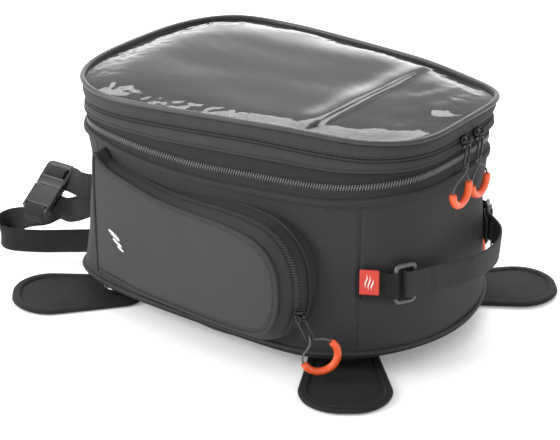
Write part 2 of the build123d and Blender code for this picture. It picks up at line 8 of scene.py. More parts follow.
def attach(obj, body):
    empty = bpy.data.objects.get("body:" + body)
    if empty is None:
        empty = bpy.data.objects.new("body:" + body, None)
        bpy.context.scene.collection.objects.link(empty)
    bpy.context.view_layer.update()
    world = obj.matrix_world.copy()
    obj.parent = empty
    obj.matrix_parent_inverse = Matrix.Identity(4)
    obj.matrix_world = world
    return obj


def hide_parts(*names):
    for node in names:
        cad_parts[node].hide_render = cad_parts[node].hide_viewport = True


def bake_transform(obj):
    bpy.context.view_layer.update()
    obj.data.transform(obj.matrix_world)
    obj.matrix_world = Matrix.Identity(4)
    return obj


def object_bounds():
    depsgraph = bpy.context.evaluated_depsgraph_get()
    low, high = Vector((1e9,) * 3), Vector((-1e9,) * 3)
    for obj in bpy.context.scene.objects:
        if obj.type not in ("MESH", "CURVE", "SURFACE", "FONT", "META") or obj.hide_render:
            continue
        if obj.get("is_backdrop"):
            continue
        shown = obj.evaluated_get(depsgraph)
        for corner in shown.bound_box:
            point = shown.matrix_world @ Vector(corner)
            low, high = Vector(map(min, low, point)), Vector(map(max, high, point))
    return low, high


# Motorcycle tank bag. Lengths below are in millimetres in the row frame and become
# metres when a mesh is made. +X is the rider's end, -Y the near pocket, +Z up.
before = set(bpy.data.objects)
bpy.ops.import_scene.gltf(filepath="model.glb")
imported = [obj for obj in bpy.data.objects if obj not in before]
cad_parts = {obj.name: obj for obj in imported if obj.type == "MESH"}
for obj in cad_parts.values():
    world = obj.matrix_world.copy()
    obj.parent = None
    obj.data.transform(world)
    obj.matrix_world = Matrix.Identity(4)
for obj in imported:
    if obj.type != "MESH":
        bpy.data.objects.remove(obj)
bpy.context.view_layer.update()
MM = 0.001
COLUMNS = 480
TWO_PI = 2 * math.pi
UP = np.array([0.0, 0.0, 1.0])
WEB_WIDTH = 24.5
# A stitch: its length as a share of the spacing, then its width and height.
STITCH_SHARE = 0.72
STITCH_WIDTH = 0.55
STITCH_HEIGHT = 0.5


def unit(vectors):
    """Rows of vectors, each scaled to length one."""
    return vectors / np.linalg.norm(vectors, axis=1)[:, None]


def turns(count):
    """Angles at even steps of a full turn."""
    return [TWO_PI * step / count for step in range(count)]


def lengths(points):
    """Distance along a polyline at each of its points."""
    return np.concatenate([[0], np.cumsum(np.linalg.norm(np.diff(points, axis=0), axis=1))])


def at_lengths(points, along, wanted):
    """Points of a polyline at the wanted distances along it."""
    return np.stack([np.interp(wanted, along, column) for column in points.T], -1)


# ---------------------------------------------------------------- plan of the bag
FOOT = 24.0
TOP = 215.0
LEVEL_STEP = 5.0


def outline(height, count):
    """Evenly spaced points of the plan outline at a height, from the rider's end round by +Y."""
    share = (height - FOOT) / (TOP - FOOT)
    half_length = 188.0 - 3.0 * share
    half_width = 133.5 - 11.5 * share
    taper = -0.03 + 0.25 * share
    front = 5.3 - 2.3 * share
    rear = 2.2 + 2.4 * share
    angle = np.linspace(0, TWO_PI, 2881)
    cosine = np.cos(angle)
    sine = np.sin(angle)
    power = 2 / (front + (rear - front) * (0.5 + 0.5 * cosine))
    x = half_length * np.sign(cosine) * np.abs(cosine) ** power
    y = half_width * np.sign(sine) * np.abs(sine) ** power * (1 - taper * x / half_length)
    x = x + 1.7 * (1 - share)
    points = np.stack([x, y], -1)
    along = lengths(points)
    return at_lengths(points, along, np.linspace(0, along[-1], count, endpoint=False))


LEVELS = np.arange(0, 236, LEVEL_STEP)
PLANS = np.array([outline(level, COLUMNS) for level in LEVELS])
PERIMETER = float(np.hypot(*(PLANS[20] - np.roll(PLANS[20], 1, 0)).T).sum())
U = np.arange(COLUMNS) / COLUMNS
NEAR_U = np.where(U < 0.5, 1 - U, U)


def smooth_round(values, passes):
    for _ in range(passes):
        values = (np.roll(values, 1) + 2 * values + np.roll(values, -1)) / 4
    return values


def line_height(*knots):
    """Height of a seam line round the bag, from (share of the way round, height) pairs."""
    where, height = zip(*knots)
    return smooth_round(np.interp(NEAR_U, where, height), 40)


# Seam lines sag along the long sides and rise at the rider's end, as loaded fabric does.
FAR_DIP = np.where(U < 0.5, np.sin(TWO_PI * U), 0.0) * 2.4
RIM = line_height(
    (0.5, 215.5), (0.62, 216.5), (0.66, 214.5), (0.75, 216.5), (0.83, 217.5), (0.89, 214.5),
    (0.94, 216), (1, 216),
) - FAR_DIP
ZIP = line_height(
    (0.5, 200), (0.66, 199.5), (0.72, 201), (0.8, 203), (0.86, 201), (0.89, 200), (0.94, 203),
    (0.98, 201), (1, 200.5),
)
SEAM = line_height(
    (0.5, 190), (0.66, 189), (0.71, 187), (0.82, 189), (0.87, 188), (0.91, 191), (0.95, 193.5),
    (1, 193),
)
COIL = line_height(
    (0.5, 179), (0.64, 179.5), (0.67, 177), (0.69, 174), (0.71, 172), (0.745, 169), (0.8, 171),
    (0.86, 172), (0.89, 175.5), (0.925, 181), (0.95, 183.5), (1, 182),
)
BIND = line_height(
    (0.5, 173), (0.62, 175), (0.645, 174), (0.668, 168.5), (0.71, 162), (0.75, 159), (0.8, 160),
    (0.86, 161.5), (0.89, 165), (0.924, 171), (0.945, 172), (1, 170),
)

# Two opposite corners hang slack: how far they sink in at each height, then the way the corner
# faces and how wide it is, in degrees.
SLACK_HEIGHTS = (24, 45, 80, 110, 135, 160, 176, 190, 203, 216)
SLACK_CORNERS = (
    ((0.0, 4.0, 8.0, 9.0, 9.0, 8.5, 6.5, 3.0, 0.5, -1.5), 42.0, 28.0),
    ((0.0, 4.5, 10.5, 11.5, 9.0, 5.0, 4.0, 4.5, 2.0, 0.5), -148.0, 27.0),
)


def place(height, inset):
    """Points at a height and an inset from the plan outline, one per column."""
    height = np.broadcast_to(np.asarray(height, float), (COLUMNS,))
    inset = np.broadcast_to(np.asarray(inset, float), (COLUMNS,))
    low = np.clip((height // LEVEL_STEP).astype(int), 0, len(LEVELS) - 2)
    share = ((height - LEVELS[low]) / LEVEL_STEP)[:, None]
    index = np.arange(COLUMNS)
    plan = PLANS[low, index] * (1 - share) + PLANS[low + 1, index] * share
    tangent = unit(np.roll(plan, -1, 0) - np.roll(plan, 1, 0))
    normal = np.stack([tangent[:, 1], -tangent[:, 0]], -1)
    facing = np.degrees(np.arctan2(normal[:, 1], normal[:, 0]))
    slack = 0.0
    for sinks, direction, spread in SLACK_CORNERS:
        slack = slack + np.interp(height, SLACK_HEIGHTS,
                                  sinks) * np.exp(-(((facing - direction) / spread) ** 2))
    plan = plan - normal * (inset + slack)[:, None]
    return np.column_stack([plan, height])


def section(*knots, line=0.0):
    """Rows round the bag from (height above a seam line, inset) pairs."""
    return [place(line + rise, inset) for rise, inset in knots]


# ---------------------------------------------------------------- mesh helpers
def new_object(name, vertices, faces, material, uv, sharp):
    mesh = bpy.data.meshes.new(name)
    mesh.from_pydata((np.asarray(vertices) * MM).tolist(), [], faces)
    layer = mesh.uv_layers.new(name="UVMap")
    layer.data.foreach_set("uv", np.asarray(uv, np.float32).ravel())
    mesh.polygons.foreach_set("use_smooth", [True] * len(mesh.polygons))
    mesh.set_sharp_from_angle(angle=math.radians(sharp))
    mesh.materials.append(material)
    mesh.update()
    obj = bpy.data.objects.new(name, mesh)
    bpy.context.scene.collection.objects.link(obj)
    return obj


def band_faces(rows, count, tip=False):
    """Faces between closed rows of count points each, and round a last point if tip is set."""
    faces = []
    for j in range(rows - 1):
        for i in range(count):
            m = (i + 1) % count
            faces.append((j * count + i, j * count + m, (j + 1) * count + m, (j + 1) * count + i))
    if tip:
        last = (rows - 1) * count
        faces += [(last + i, last + (i + 1) % count, rows * count) for i in range(count)]
    return faces


def grid(name, rows, material, close_u=True, close_v=False, cap=False, sharp=38.0):
    """A surface through rows of points. Its UVs are real distances in metres."""
    rows = np.asarray(rows, float)
    count_v, count_u = rows.shape[:2]
    ring = np.concatenate([rows, rows[:, :1]], 1) if close_u else rows
    along = np.concatenate([np.zeros((count_v, 1)), np.cumsum(np.linalg.norm(np.diff(ring, axis=1), axis=2),
            1)], 1)
    middle = along[count_v // 2]
    up = np.concatenate([[0], np.cumsum(np.linalg.norm(np.diff(rows, axis=0), axis=2).mean(1))])
    faces = []
    uv = []
    spans_u = count_u if close_u else count_u - 1
    spans_v = count_v if close_v else count_v - 1
    for j in range(spans_v):
        k = (j + 1) % count_v
        top = up[j + 1] if j + 1 < count_v else up[-1] + np.linalg.norm(rows[0, 0] - rows[-1, 0])
        for i in range(spans_u):
            m = (i + 1) % count_u
            faces.append((j * count_u + i, j * count_u + m, k * count_u + m, k * count_u + i))
            uv += [(middle[i], up[j]), (middle[i + 1], up[j]), (middle[i + 1], top), (middle[i], top)]
    vertices = rows.reshape(-1, 3)
    if cap:
        for start, flip in ((0, True), ((count_v - 1) * count_u, False)):
            loop = list(range(start, start + count_u))
            faces.append(tuple(reversed(loop)) if flip else tuple(loop))
            uv += [(0.0, 0.0)] * count_u
    return new_object(name, vertices, faces, material, np.asarray(uv) * MM, sharp)


def fill(name, boundary, rings, lift, material, centre=None, sharp=60.0, extra=()):
    """A surface inside a closed boundary. lift(points, share) returns its points with their relief:
    share is 1 at the edge and 0 in the middle. extra rows go outside the boundary."""
    boundary = np.asarray(boundary, float)
    middle = boundary.mean(0) if centre is None else np.asarray(centre, float)
    rows = [np.asarray(row, float) for row in extra]
    for ring in range(rings):
        share = 1 - ring / rings
        rows.append(lift(middle + (boundary - middle) * share, share))
    tip = lift(middle[None, :].copy(), 0.0)
    count = len(boundary)
    vertices = np.concatenate(rows + [tip])
    faces = band_faces(len(rows), count, tip=True)
    span = np.abs(boundary - middle).max(0)
    axes = np.argsort(-span)[:2]
    flat = vertices[:, sorted(axes)] * MM
    uv = np.concatenate([flat[list(face)] for face in faces])
    return new_object(name, vertices, faces, material, uv, sharp)


def frames_along(points, closed):
    points = np.asarray(points, float)
    if closed:
        tangent = np.roll(points, -1, 0) - np.roll(points, 1, 0)
    else:
        tangent = np.gradient(points, axis=0)
    return points, unit(tangent)


def tube(name, points, radius, material, closed=True, sides=12, squash=1.0, up=UP):
    """A round tube along points. squash flattens it across its up direction."""
    points, tangent = frames_along(points, closed)
    side = unit(np.cross(tangent, np.asarray(up, float)))
    top = np.cross(side, tangent)
    radius = np.broadcast_to(np.asarray(radius, float), (len(points),))[:, None]
    rows = []
    for angle in turns(sides):
        rows.append(points + radius * (side * math.cos(angle) * squash + top * math.sin(angle)))
    rows = np.asarray(rows)
    if closed:
        return grid(name, rows, material, close_v=True)
    return grid(name, np.swapaxes(rows, 0, 1), material, cap=True)


# Half of a webbing's section: shares of its half width and half thickness.
WEB_PROFILE = (
    (-1, 0.35), (-0.985, 0.8), (-0.95, 1), (-0.6, 1.05), (0, 1.05), (0.6, 1.05), (0.95, 1),
    (0.985, 0.8), (1, 0.35),
)


def ribbon(name, points, across, width, thickness, material):
    """Webbing: a strip with rounded edges along points. across is its width direction at each point."""
    points, tangent = frames_along(points, False)
    across = np.broadcast_to(np.asarray(across, float), points.shape)
    across = unit(across - tangent * (across * tangent).sum(1)[:, None])
    normal = np.cross(tangent, across)
    profile = [(x * width / 2, y * thickness / 2) for x, y in WEB_PROFILE]
    profile += [(x, -y) for x, y in reversed(profile)]
    rows = [points + across * x + normal * y for x, y in profile]
    rows = np.swapaxes(np.asarray(rows), 0, 1)
    return grid(name, rows, material, cap=True)


def spline(knots, count, closed=False):
    """A smooth curve through knots, evenly spaced."""
    knots = np.asarray(knots, float)
    if closed:
        padded = np.concatenate([knots[-1:], knots, knots[:2]])
    else:
        padded = np.concatenate([[2 * knots[0] - knots[1]], knots, [2 * knots[-1] - knots[-2]]])
    points = []
    for span in range(len(padded) - 3):
        a, b, c, d = padded[span:span + 4]
        for t in np.linspace(0, 1, 24, endpoint=False):
            square = (2 * a - 5 * b + 4 * c - d) * t**2
            cube = (3 * b - a - 3 * c + d) * t**3
            points.append(0.5 * (2 * b + (c - a) * t + square + cube))
    points.append(padded[-2])
    points = np.asarray(points)
    along = lengths(points)
    return at_lengths(points, along, np.linspace(0, along[-1], count, endpoint=not closed))


def evenly(points, spacing, closed):
    """Points and directions at even distances along a polyline."""
    points = np.asarray(points, float)
    if closed:
        points = np.concatenate([points, points[:1]])
    along = lengths(points)
    count = max(2, int(along[-1] / spacing))
    wanted = (np.arange(count) + 0.5) * along[-1] / count
    spots = at_lengths(points, along, wanted)
    direction = at_lengths(points, along, wanted + 0.4) - at_lengths(points, along, wanted - 0.4)
    return spots, unit(direction)


def facing_out(outward, spots):
    """Directions of length one at spots, from one direction or from a function of the spots."""
    if callable(outward):
        return unit(outward(spots))
    return unit(np.broadcast_to(np.asarray(outward, float), spots.shape))


def rounded_corners(half_x, half_y, radius, steps, first=0):
    """A rectangle whose corners are quarter circles round points half_x and half_y from its middle."""
    points = []
    for corner in range(first, first + 4):
        turn = math.pi / 2 * (corner % 4)
        x = half_x if corner % 4 in (0, 3) else -half_x
        y = half_y if corner % 4 < 2 else -half_y
        for step in range(steps):
            angle = turn + math.pi / 2 * step / (steps - 1)
            points.append((x + radius * math.cos(angle), y + radius * math.sin(angle)))
    return points


def as_it_is(points, share):
    """The lift of a flat fill: none."""
    return points


def scatter(name, spots, along, outward, shape, faces, material):
    """Copies of one small shape, each set by its own along and outward directions."""
    outward = unit(outward - along * (outward * along).sum(1)[:, None])
    side = np.cross(outward, along)
    shape = np.asarray(shape, float)
    vertices = (
        spots[:, None, :]
        + along[:, None, :] * shape[None, :, 0:1]
        + side[:, None, :] * shape[None, :, 1:2]
        + outward[:, None, :] * shape[None, :, 2:3]
    )
    size = len(shape)
    all_faces = []
    for copy in range(len(spots)):
        all_faces += [tuple(copy * size + v for v in face) for face in faces]
    uv = np.zeros((sum(len(face) for face in all_faces), 2))
    return new_object(name, vertices.reshape(-1, 3), all_faces, material, uv, 50.0)


def pellet(length, width, height):
    """A small rounded bar: points and faces."""
    rings = ((-0.5, 0.45), (-0.4, 0.85), (0, 1.0), (0.4, 0.85), (0.5, 0.45))
    sides = 6
    points = []
    for x, size in rings:
        for angle in turns(sides):
            y = math.cos(angle) * width / 2 * size
            points.append((x * length, y, math.sin(angle) * height / 2 * size))
    faces = band_faces(len(rings), sides)
    faces.append(tuple(reversed(range(sides))))
    faces.append(tuple(range((len(rings) - 1) * sides, len(rings) * sides)))
    return points, faces


def sew(name, points, outward, body, slot="trim_fabric", closed=False, spacing=3.6):
    """A row of thread stitches that lies on a surface and moves with body."""
    spots, direction = evenly(points, spacing, closed)
    outward = facing_out(outward, spots)
    shape, faces = pellet(spacing * STITCH_SHARE, STITCH_WIDTH, STITCH_HEIGHT)
    row = scatter(name, spots + outward * 0.1, direction, outward, shape, faces, THREAD)
    settle(row, body, slot)


COIL_SPACING = 2.4
COIL_REACH = 3.6


def coil_teeth(name, points, outward, material, side, closed=True):
    """One half of a coil zipper: loops that lean across the middle line. side is +1 above it, -1 below."""
    spots, direction = evenly(points, COIL_SPACING, closed)
    points, faces = pellet(COIL_REACH, 1.25, 1.3)
    shape = []
    for along, across, height in points:
        rise = side * (along + COIL_REACH / 2 - 0.75)
        shape.append((across + 0.18 * side * along + 0.5 * side, rise, height))
    return scatter(name, spots, direction, facing_out(outward, spots), shape, faces, material)


def plan_outward(spots):
    """Roughly outward from the bag's upright axis, following the plan outline."""
    plan = place(180, 0)
    ahead = np.roll(plan, -1, 0) - np.roll(plan, 1, 0)
    normal = unit(np.column_stack([ahead[:, 1], -ahead[:, 0], np.zeros(COLUMNS)]))
    nearest = np.argmin(((spots[:, None, :2] - plan[None, :, :2]) ** 2).sum(2), 1)
    return normal[nearest]


def wave_noise(points, scale, seed):
    """Smooth noise at points, from -1 to 1. scale is the size of a lump along x, y and z."""
    scale = np.asarray(scale, float)
    return np.array([noise.noise(Vector(point / scale + seed)) for point in points])


def refine(node, material, bevel, segments):
    """A bevelled copy of a hard CAD node that stands for it."""
    sharp = math.radians(40)
    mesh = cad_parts[node].data.copy()
    piece = bpy.data.objects.new(node + "_hard", mesh)
    bpy.context.scene.collection.objects.link(piece)
    weld = piece.modifiers.new("Weld", "WELD")
    weld.merge_threshold = 0.00002
    modifier = piece.modifiers.new("Bevel", "BEVEL")
    modifier.width = bevel * MM
    modifier.segments = segments
    modifier.limit_method = "ANGLE"
    modifier.angle_limit = sharp
    modifier.harden_normals = True
    mesh.materials.clear()
    mesh.materials.append(material)
    mesh.polygons.foreach_set("material_index", [0] * len(mesh.polygons))
    mesh.polygons.foreach_set("use_smooth", [True] * len(mesh.polygons))
    mesh.set_sharp_from_angle(angle=sharp)
    return piece


def settle(piece, body, slot, *nodes):
    """Puts a piece under its body and hides the CAD nodes it stands for. The slot argument is not used."""
    if nodes:
        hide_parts(*nodes)
    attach(piece, body)
    return piece


# ---------------------------------------------------------------- materials
def connect(tree, node, inputs):
    """Fills a node's inputs, by name or number: a socket is linked and a value is set."""
    for key, value in dict(inputs).items():
        if isinstance(value, bpy.types.NodeSocket):
            tree.links.new(value, node.inputs[key])
        else:
            node.inputs[key].default_value = value


def new_node(tree, kind, inputs=()):
    node = tree.nodes.new("ShaderNode" + kind)
    connect(tree, node, inputs)
    return node


def start_material(name):
    """A new material with its tree, its shader and the outputs of its texture coordinates."""
    material = bpy.data.materials.new(name)
    material.use_nodes = True
    tree = material.node_tree
    return material, tree, tree.nodes["Principled BSDF"], new_node(tree, "TexCoord").outputs


def math_node(tree, operation, *values):
    node = tree.nodes.new("ShaderNodeMath")
    node.operation = operation
    connect(tree, node, enumerate(values))
    return node.outputs[0]


def scaled(tree, value, factor, offset):
    """value * factor + offset."""
    return math_node(tree, "MULTIPLY_ADD", value, factor, offset)


def noise_node(tree, vector, scale, detail, roughness=0.55):
    inputs = {"Scale": scale, "Detail": detail, "Roughness": roughness, "Vector": vector}
    return new_node(tree, "TexNoise", inputs).outputs["Fac"]


def ramp_node(tree, value, low, high, low_colour, high_colour):
    node = new_node(tree, "ValToRGB", {"Fac": value})
    for element, at, colour in zip(node.color_ramp.elements, (low, high), (low_colour, high_colour)):
        element.position = at
        element.color = (*colour, 1)
    return node.outputs["Color"]


def bump_node(tree, height, strength, distance):
    inputs = {"Strength": strength, "Distance": distance * MM, "Height": height}
    return new_node(tree, "Bump", inputs).outputs["Normal"]


def shade(colour, factor):
    """A colour made lighter or darker."""
    return tuple(min(1.0, channel * factor) for channel in colour)


def woven(name, colour, pitch, relief, contrast, roughness=0.72, sheen=0.05, ribs=0.0):
    """Cloth: two crossing sets of threads on the piece's real-size UVs, with slow colour changes.
    pitch and relief are in millimetres. ribs adds bars across a webbing's length."""
    material, tree, shader, spots = start_material(name)
    split = new_node(tree, "SeparateXYZ", {0: spots["UV"]})

    def threads(axis, spacing):
        phase = math_node(tree, "MULTIPLY", split.outputs[axis], TWO_PI / (spacing * MM))
        return math_node(tree, "SINE", phase)

    cross = math_node(tree, "MULTIPLY", threads(0, pitch), threads(1, pitch))
    height = scaled(tree, cross, 0.5, 0.5)
    if ribs:
        height = scaled(tree, threads(1, 1.9), ribs, height)
    fuzz = noise_node(tree, spots["Object"], 1400.0, 2.0)
    height = scaled(tree, fuzz, 0.6, height)
    slow = noise_node(tree, spots["Object"], 9.0, 4.0)
    mixed = scaled(tree, height, 0.35, slow)
    mixed = scaled(tree, noise_node(tree, spots["Object"], 520.0, 1.0), 0.8, mixed)
    spread = 1.6 * contrast
    connect(tree, shader, {
        "Base Color": ramp_node(tree, mixed, 0.8, 1.65, shade(colour, 1 - spread), shade(colour,
                1 + spread)),
        "Roughness": scaled(tree, slow, 0.18, roughness - 0.09),
        "Sheen Weight": sheen,
        "Sheen Roughness": 0.5,
        "Specular IOR Level": 0.22,
        "Normal": bump_node(tree, height, 0.8, relief),
    })
    return material


def moulded(name, colour, roughness, grain, metallic=0.0, coat=0.0):
    """Moulded plastic or coated metal with a fine grain, faint smudges and uneven gloss."""
    material, tree, shader, spots = start_material(name)
    fine = noise_node(tree, spots["Object"], 600.0, 3.0)
    slow = noise_node(tree, spots["Object"], 40.0, 4.0)
    connect(tree, shader, {
        "Base Color": ramp_node(tree, slow, 0.3, 0.75, shade(colour, 0.85), shade(colour, 1.15)),
        "Roughness": scaled(tree, slow, 0.2, roughness - 0.1),
        "Metallic": metallic,
        "Coat Weight": coat,
        "Coat Roughness": 0.12,
        "Normal": bump_node(tree, fine, 0.5, grain),
    })
    return material


def clear_film(name):
    """Clear vinyl: see-through with a faint haze, fine ripples and a gloss at low angles."""
    material, tree, shader, spots = start_material(name)
    tree.nodes.remove(shader)
    slow = noise_node(tree, spots["Object"], 26.0, 4.0, 0.6)
    ripples = bump_node(tree, slow, 0.05, 1.0)
    clear = new_node(tree, "BsdfTransparent")
    haze = new_node(tree, "BsdfDiffuse", {"Color": (0.75, 0.76, 0.8, 1)})
    gloss = new_node(tree, "BsdfGlossy", {"Roughness": 0.07, "Normal": ripples})
    fresnel = new_node(tree, "Fresnel", {"IOR": 1.40, "Normal": ripples})
    inside = {0: scaled(tree, slow, 0.02, 0.0), 1: clear.outputs[0], 2: haze.outputs[0]}
    body = new_node(tree, "MixShader", inside)
    surface = new_node(tree, "MixShader", {0: fresnel.outputs[0], 1: body.outputs[0], 2: gloss.outputs[0]})
    output = next(node for node in tree.nodes if node.type == "OUTPUT_MATERIAL")
    tree.links.new(surface.outputs[0], output.inputs["Surface"])
    return material


DARK = (0.0215, 0.0215, 0.0225)
CLOTH = woven("shell_cloth", DARK, 0.9, 0.16, 0.2)
POCKET_CLOTH = woven("pocket_cloth", (0.029, 0.029, 0.030), 0.9, 0.16, 0.2)
RING_CLOTH = woven("ring_cloth", (0.027, 0.027, 0.028), 0.9, 0.18, 0.2)
LID_CLOTH = woven("lid_cloth", (0.027, 0.027, 0.028), 1.0, 0.2, 0.2)
PANEL_CLOTH = woven("panel_cloth", (0.032, 0.032, 0.033), 1.0, 0.2, 0.2)
TAPE = woven("zip_tape", (0.017, 0.017, 0.018), 0.75, 0.25, 0.2, 0.8)
BINDING = woven("binding_tape", (0.020, 0.020, 0.021), 0.8, 0.22, 0.2, 0.7)
LINING = woven("lining", (0.05, 0.05, 0.055), 0.8, 0.12, 0.15, 0.7)
BASE_CLOTH = woven("base_cloth", (0.013, 0.013, 0.014), 1.5, 0.4, 0.25, 0.85, 0.02)
# Flap cloth: darker than the other cloths as painted shade, so the flaps' up-facing tops stay dark under the
# overhead light.
FLAP_CLOTH_PAINTED_SHADE = woven("flap_cloth_painted_shade", (0.0090, 0.0090, 0.0100), 1.0, 0.22, 0.3, 0.75, 0.015)
WEBBING = woven("webbing", (0.0075, 0.0075, 0.0082), 1.25, 0.4, 0.28, 0.62, 0.04, ribs=0.8)
HANDLE_WEB = woven("handle_web", (0.021, 0.021, 0.022), 1.25, 0.4, 0.28, 0.66, 0.05, ribs=0.8)
THREAD = woven("thread", (0.030, 0.030, 0.031), 0.5, 0.1, 0.2, 0.6)
PIPING = moulded("vinyl_piping", (0.030, 0.030, 0.031), 0.42, 0.05)
CLOTH_PIPING = woven("cloth_piping", (0.022, 0.022, 0.023), 0.8, 0.2, 0.18, 0.62)
RIDGE = moulded("zip_ridges", (0.040, 0.040, 0.042), 0.5, 0.03)
POCKET_COIL = moulded("pocket_coil_teeth", (0.055, 0.055, 0.057), 0.36, 0.03)
COIL_PLASTIC = moulded("coil_teeth", (0.12, 0.12, 0.124), 0.34, 0.03)
BUCKLE = moulded("buckle_plastic", (0.016, 0.016, 0.017), 0.36, 0.05)
DISC = moulded("disc_plastic", (0.010, 0.010, 0.011), 0.2, 0.02, coat=0.6)
RING_PLASTIC = moulded("ring_plastic", (0.10, 0.10, 0.105), 0.32, 0.04, metallic=0.4)
SLIDER_METAL = moulded("slider_metal", (0.045, 0.045, 0.05), 0.24, 0.02, metallic=0.8)
PULLER_METAL = moulded("puller_metal", (0.035, 0.035, 0.038), 0.3, 0.02, metallic=0.6)
CORD = woven("cord_braid", (0.075, 0.075, 0.08), 0.6, 0.15, 0.3, 0.7)
ORANGE = moulded("orange_vinyl", (0.84, 0.105, 0.018), 0.34, 0.04, coat=0.15)
LABEL = moulded("label_rubber", (0.56, 0.036, 0.018), 0.5, 0.1)
LABEL_MARK = moulded("label_mark", (0.80, 0.79, 0.77), 0.55, 0.05)
FILM = clear_film("map_film")


# ---------------------------------------------------------------- bag wall
FRONT_SEAM = 0.636
REAR_SEAM = 0.8915


def bump_at(centre, width):
    """A smooth ridge round the bag at a share of the way round, on both sides. Width in millimetres."""
    away = np.abs(NEAR_U - centre) * PERIMETER / width
    return np.exp(-away * away)


def wall_rows(bottom, top, count, base_inset, relief=None):
    """Rows up a wall between two seam lines. relief(share, height) says how far each sinks in."""
    rows = []
    for step in range(count):
        share = step / (count - 1)
        height = bottom + (top - bottom) * share
        inset = base_inset + (relief(share, height) if relief else 0.0)
        rows.append(place(height, inset))
    return rows


def shell_relief(share, height):
    """How far the wall sinks in: a waist under the binding, seams, folds near them and slow dents."""
    waist = 2.6 * math.exp(-((share - 0.72) / 0.30) ** 2)
    corner = np.exp(-(((NEAR_U - 0.655) / 0.05) ** 2))
    sink = waist + 4.0 * corner * math.exp(-((share - 0.80) / 0.22) ** 2)
    seam = 0.9 * bump_at(REAR_SEAM, 1.0) - 0.6 * bump_at(REAR_SEAM - 3.2 / PERIMETER, 2.2)
    front = 1.2 * bump_at(FRONT_SEAM, 1.4)
    spots = place(height, 4.0)
    dents = wave_noise(spots, (70, 70, 45), 3.0) * 1.6
    folds = wave_noise(spots, (26, 26, 60), 9.0) * 0.7 * (0.3 + 0.7 * share)
    pucker = wave_noise(spots, (5, 5, 16), 5.0) * 0.35 * math.exp(-((share - 1.0) / 0.08) ** 2)
    small = wave_noise(spots, (13, 13, 11), 21.0) * 0.22
    return sink + seam + front + dents + folds + pucker + small


SHELL_ROWS = 72
SHELL_FOOT = 22.0
shell_outer = wall_rows(SHELL_FOOT, BIND - 3.0, SHELL_ROWS, 2.6, shell_relief)
shell_inner = wall_rows(BIND - 3.0, SHELL_FOOT, 14, 11.0)
shell = grid("bag_shell", shell_outer + shell_inner, CLOTH, close_v=True)
shell.data.materials.append(LINING)
lining_from = (SHELL_ROWS - 1) * COLUMNS
for polygon in shell.data.polygons:
    if polygon.index >= lining_from:
        polygon.material_index = 1
settle(shell, "bag", "shell_fabric", "body_shell")

# Felled seam at the rider's end: two rows of stitches beside the fold.
for seam_u, offset in ((REAR_SEAM, 3.4), (1 - REAR_SEAM, -3.4)):
    index = int(round((seam_u - offset / PERIMETER) * COLUMNS)) % COLUMNS
    line = [row[index] for row in shell_outer[2:-3]]
    outward = plan_outward(np.asarray(line[:1]))[0]
    sew(f"seam_stitches_{'near' if seam_u > 0.5 else 'far'}", line, outward, "bag")

# Floor panel inside, and the skirt and underside outside.
floor = fill("inner_floor", place(22.5, 8.0), 12, as_it_is, LINING)
settle(floor, "bag", "base_fabric", "base_board")


def under_lift(points, share):
    points = points.copy()
    points[:, 2] = 16.0 + 0.4 * wave_noise(points, (30, 30, 30), 2.0)
    return points


skirt_rows = section((22.5, 7.0), (21.5, 3.8), (20.5, 3.2), (18.6, 4.2), (17.0, 6.4), (16.2, 8.4))
underside = fill("base_underside", place(16.0, 10.0), 14, under_lift, BASE_CLOTH, extra=skirt_rows)
settle(underside, "bag", "base_fabric")

piping_line = place(24.0, 2.2 + 0.5 * wave_noise(place(23.0, 0), (60, 60, 60), 1.0))
piece = tube("base_edge_piping", piping_line, 1.9, CLOTH_PIPING, sides=14)
settle(piece, "bag", "vinyl_piping", "base_piping")
piece = tube("base_edge_tape", place(20.4, 3.3), 1.5, BASE_CLOTH, sides=10, squash=0.55)
settle(piece, "bag", "trim_fabric")


# Domed anti-slip pad under the base.
PAD_STEPS = 160


def pad_outline(half_length, half_width, height):
    angle = np.linspace(0, TWO_PI, PAD_STEPS, endpoint=False)
    heights = np.full(PAD_STEPS, height)
    return np.column_stack([half_length * np.cos(angle), half_width * np.sin(angle), heights])


def pad_lift(points, share):
    points = points.copy()
    crown = 0.9 * np.sin(points[:, 0] * TWO_PI / 22.0) * np.sin(points[:, 1] * TWO_PI / 22.0)
    points[:, 2] = 0.6 + 2.6 * share**4 + 0.4 * crown * (share < 0.9)
    return points


pad_rows = [
    pad_outline(112, 122, 16.2), pad_outline(111, 121, 13.0), pad_outline(106, 116.5, 8.0),
    pad_outline(98, 109, 4.4),
]
pad = fill("base_pad_soft", pad_outline(90, 101, 2.4), 26, pad_lift, BASE_CLOTH, extra=pad_rows)
settle(pad, "bag", "base_fabric", "base_pad")


# ---------------------------------------------------------------- lower binding and expansion zipper
binding_rows = section((0.4, 6.2), (0.4, 3.0), (-0.2, 1.7), (-2.4, 1.1),
                       (-4.8, 1.5), (-5.7, 2.6), (-5.9, 5.6), (-3.0, 7.6), line=BIND)
binding = grid("lower_edge_binding", binding_rows, BINDING, close_v=True, sharp=70)
settle(binding, "bag", "trim_fabric", "lower_binding")
sew("binding_stitches", place(BIND - 4.7, 1.5), plan_outward, "bag", closed=True, spacing=3.2)

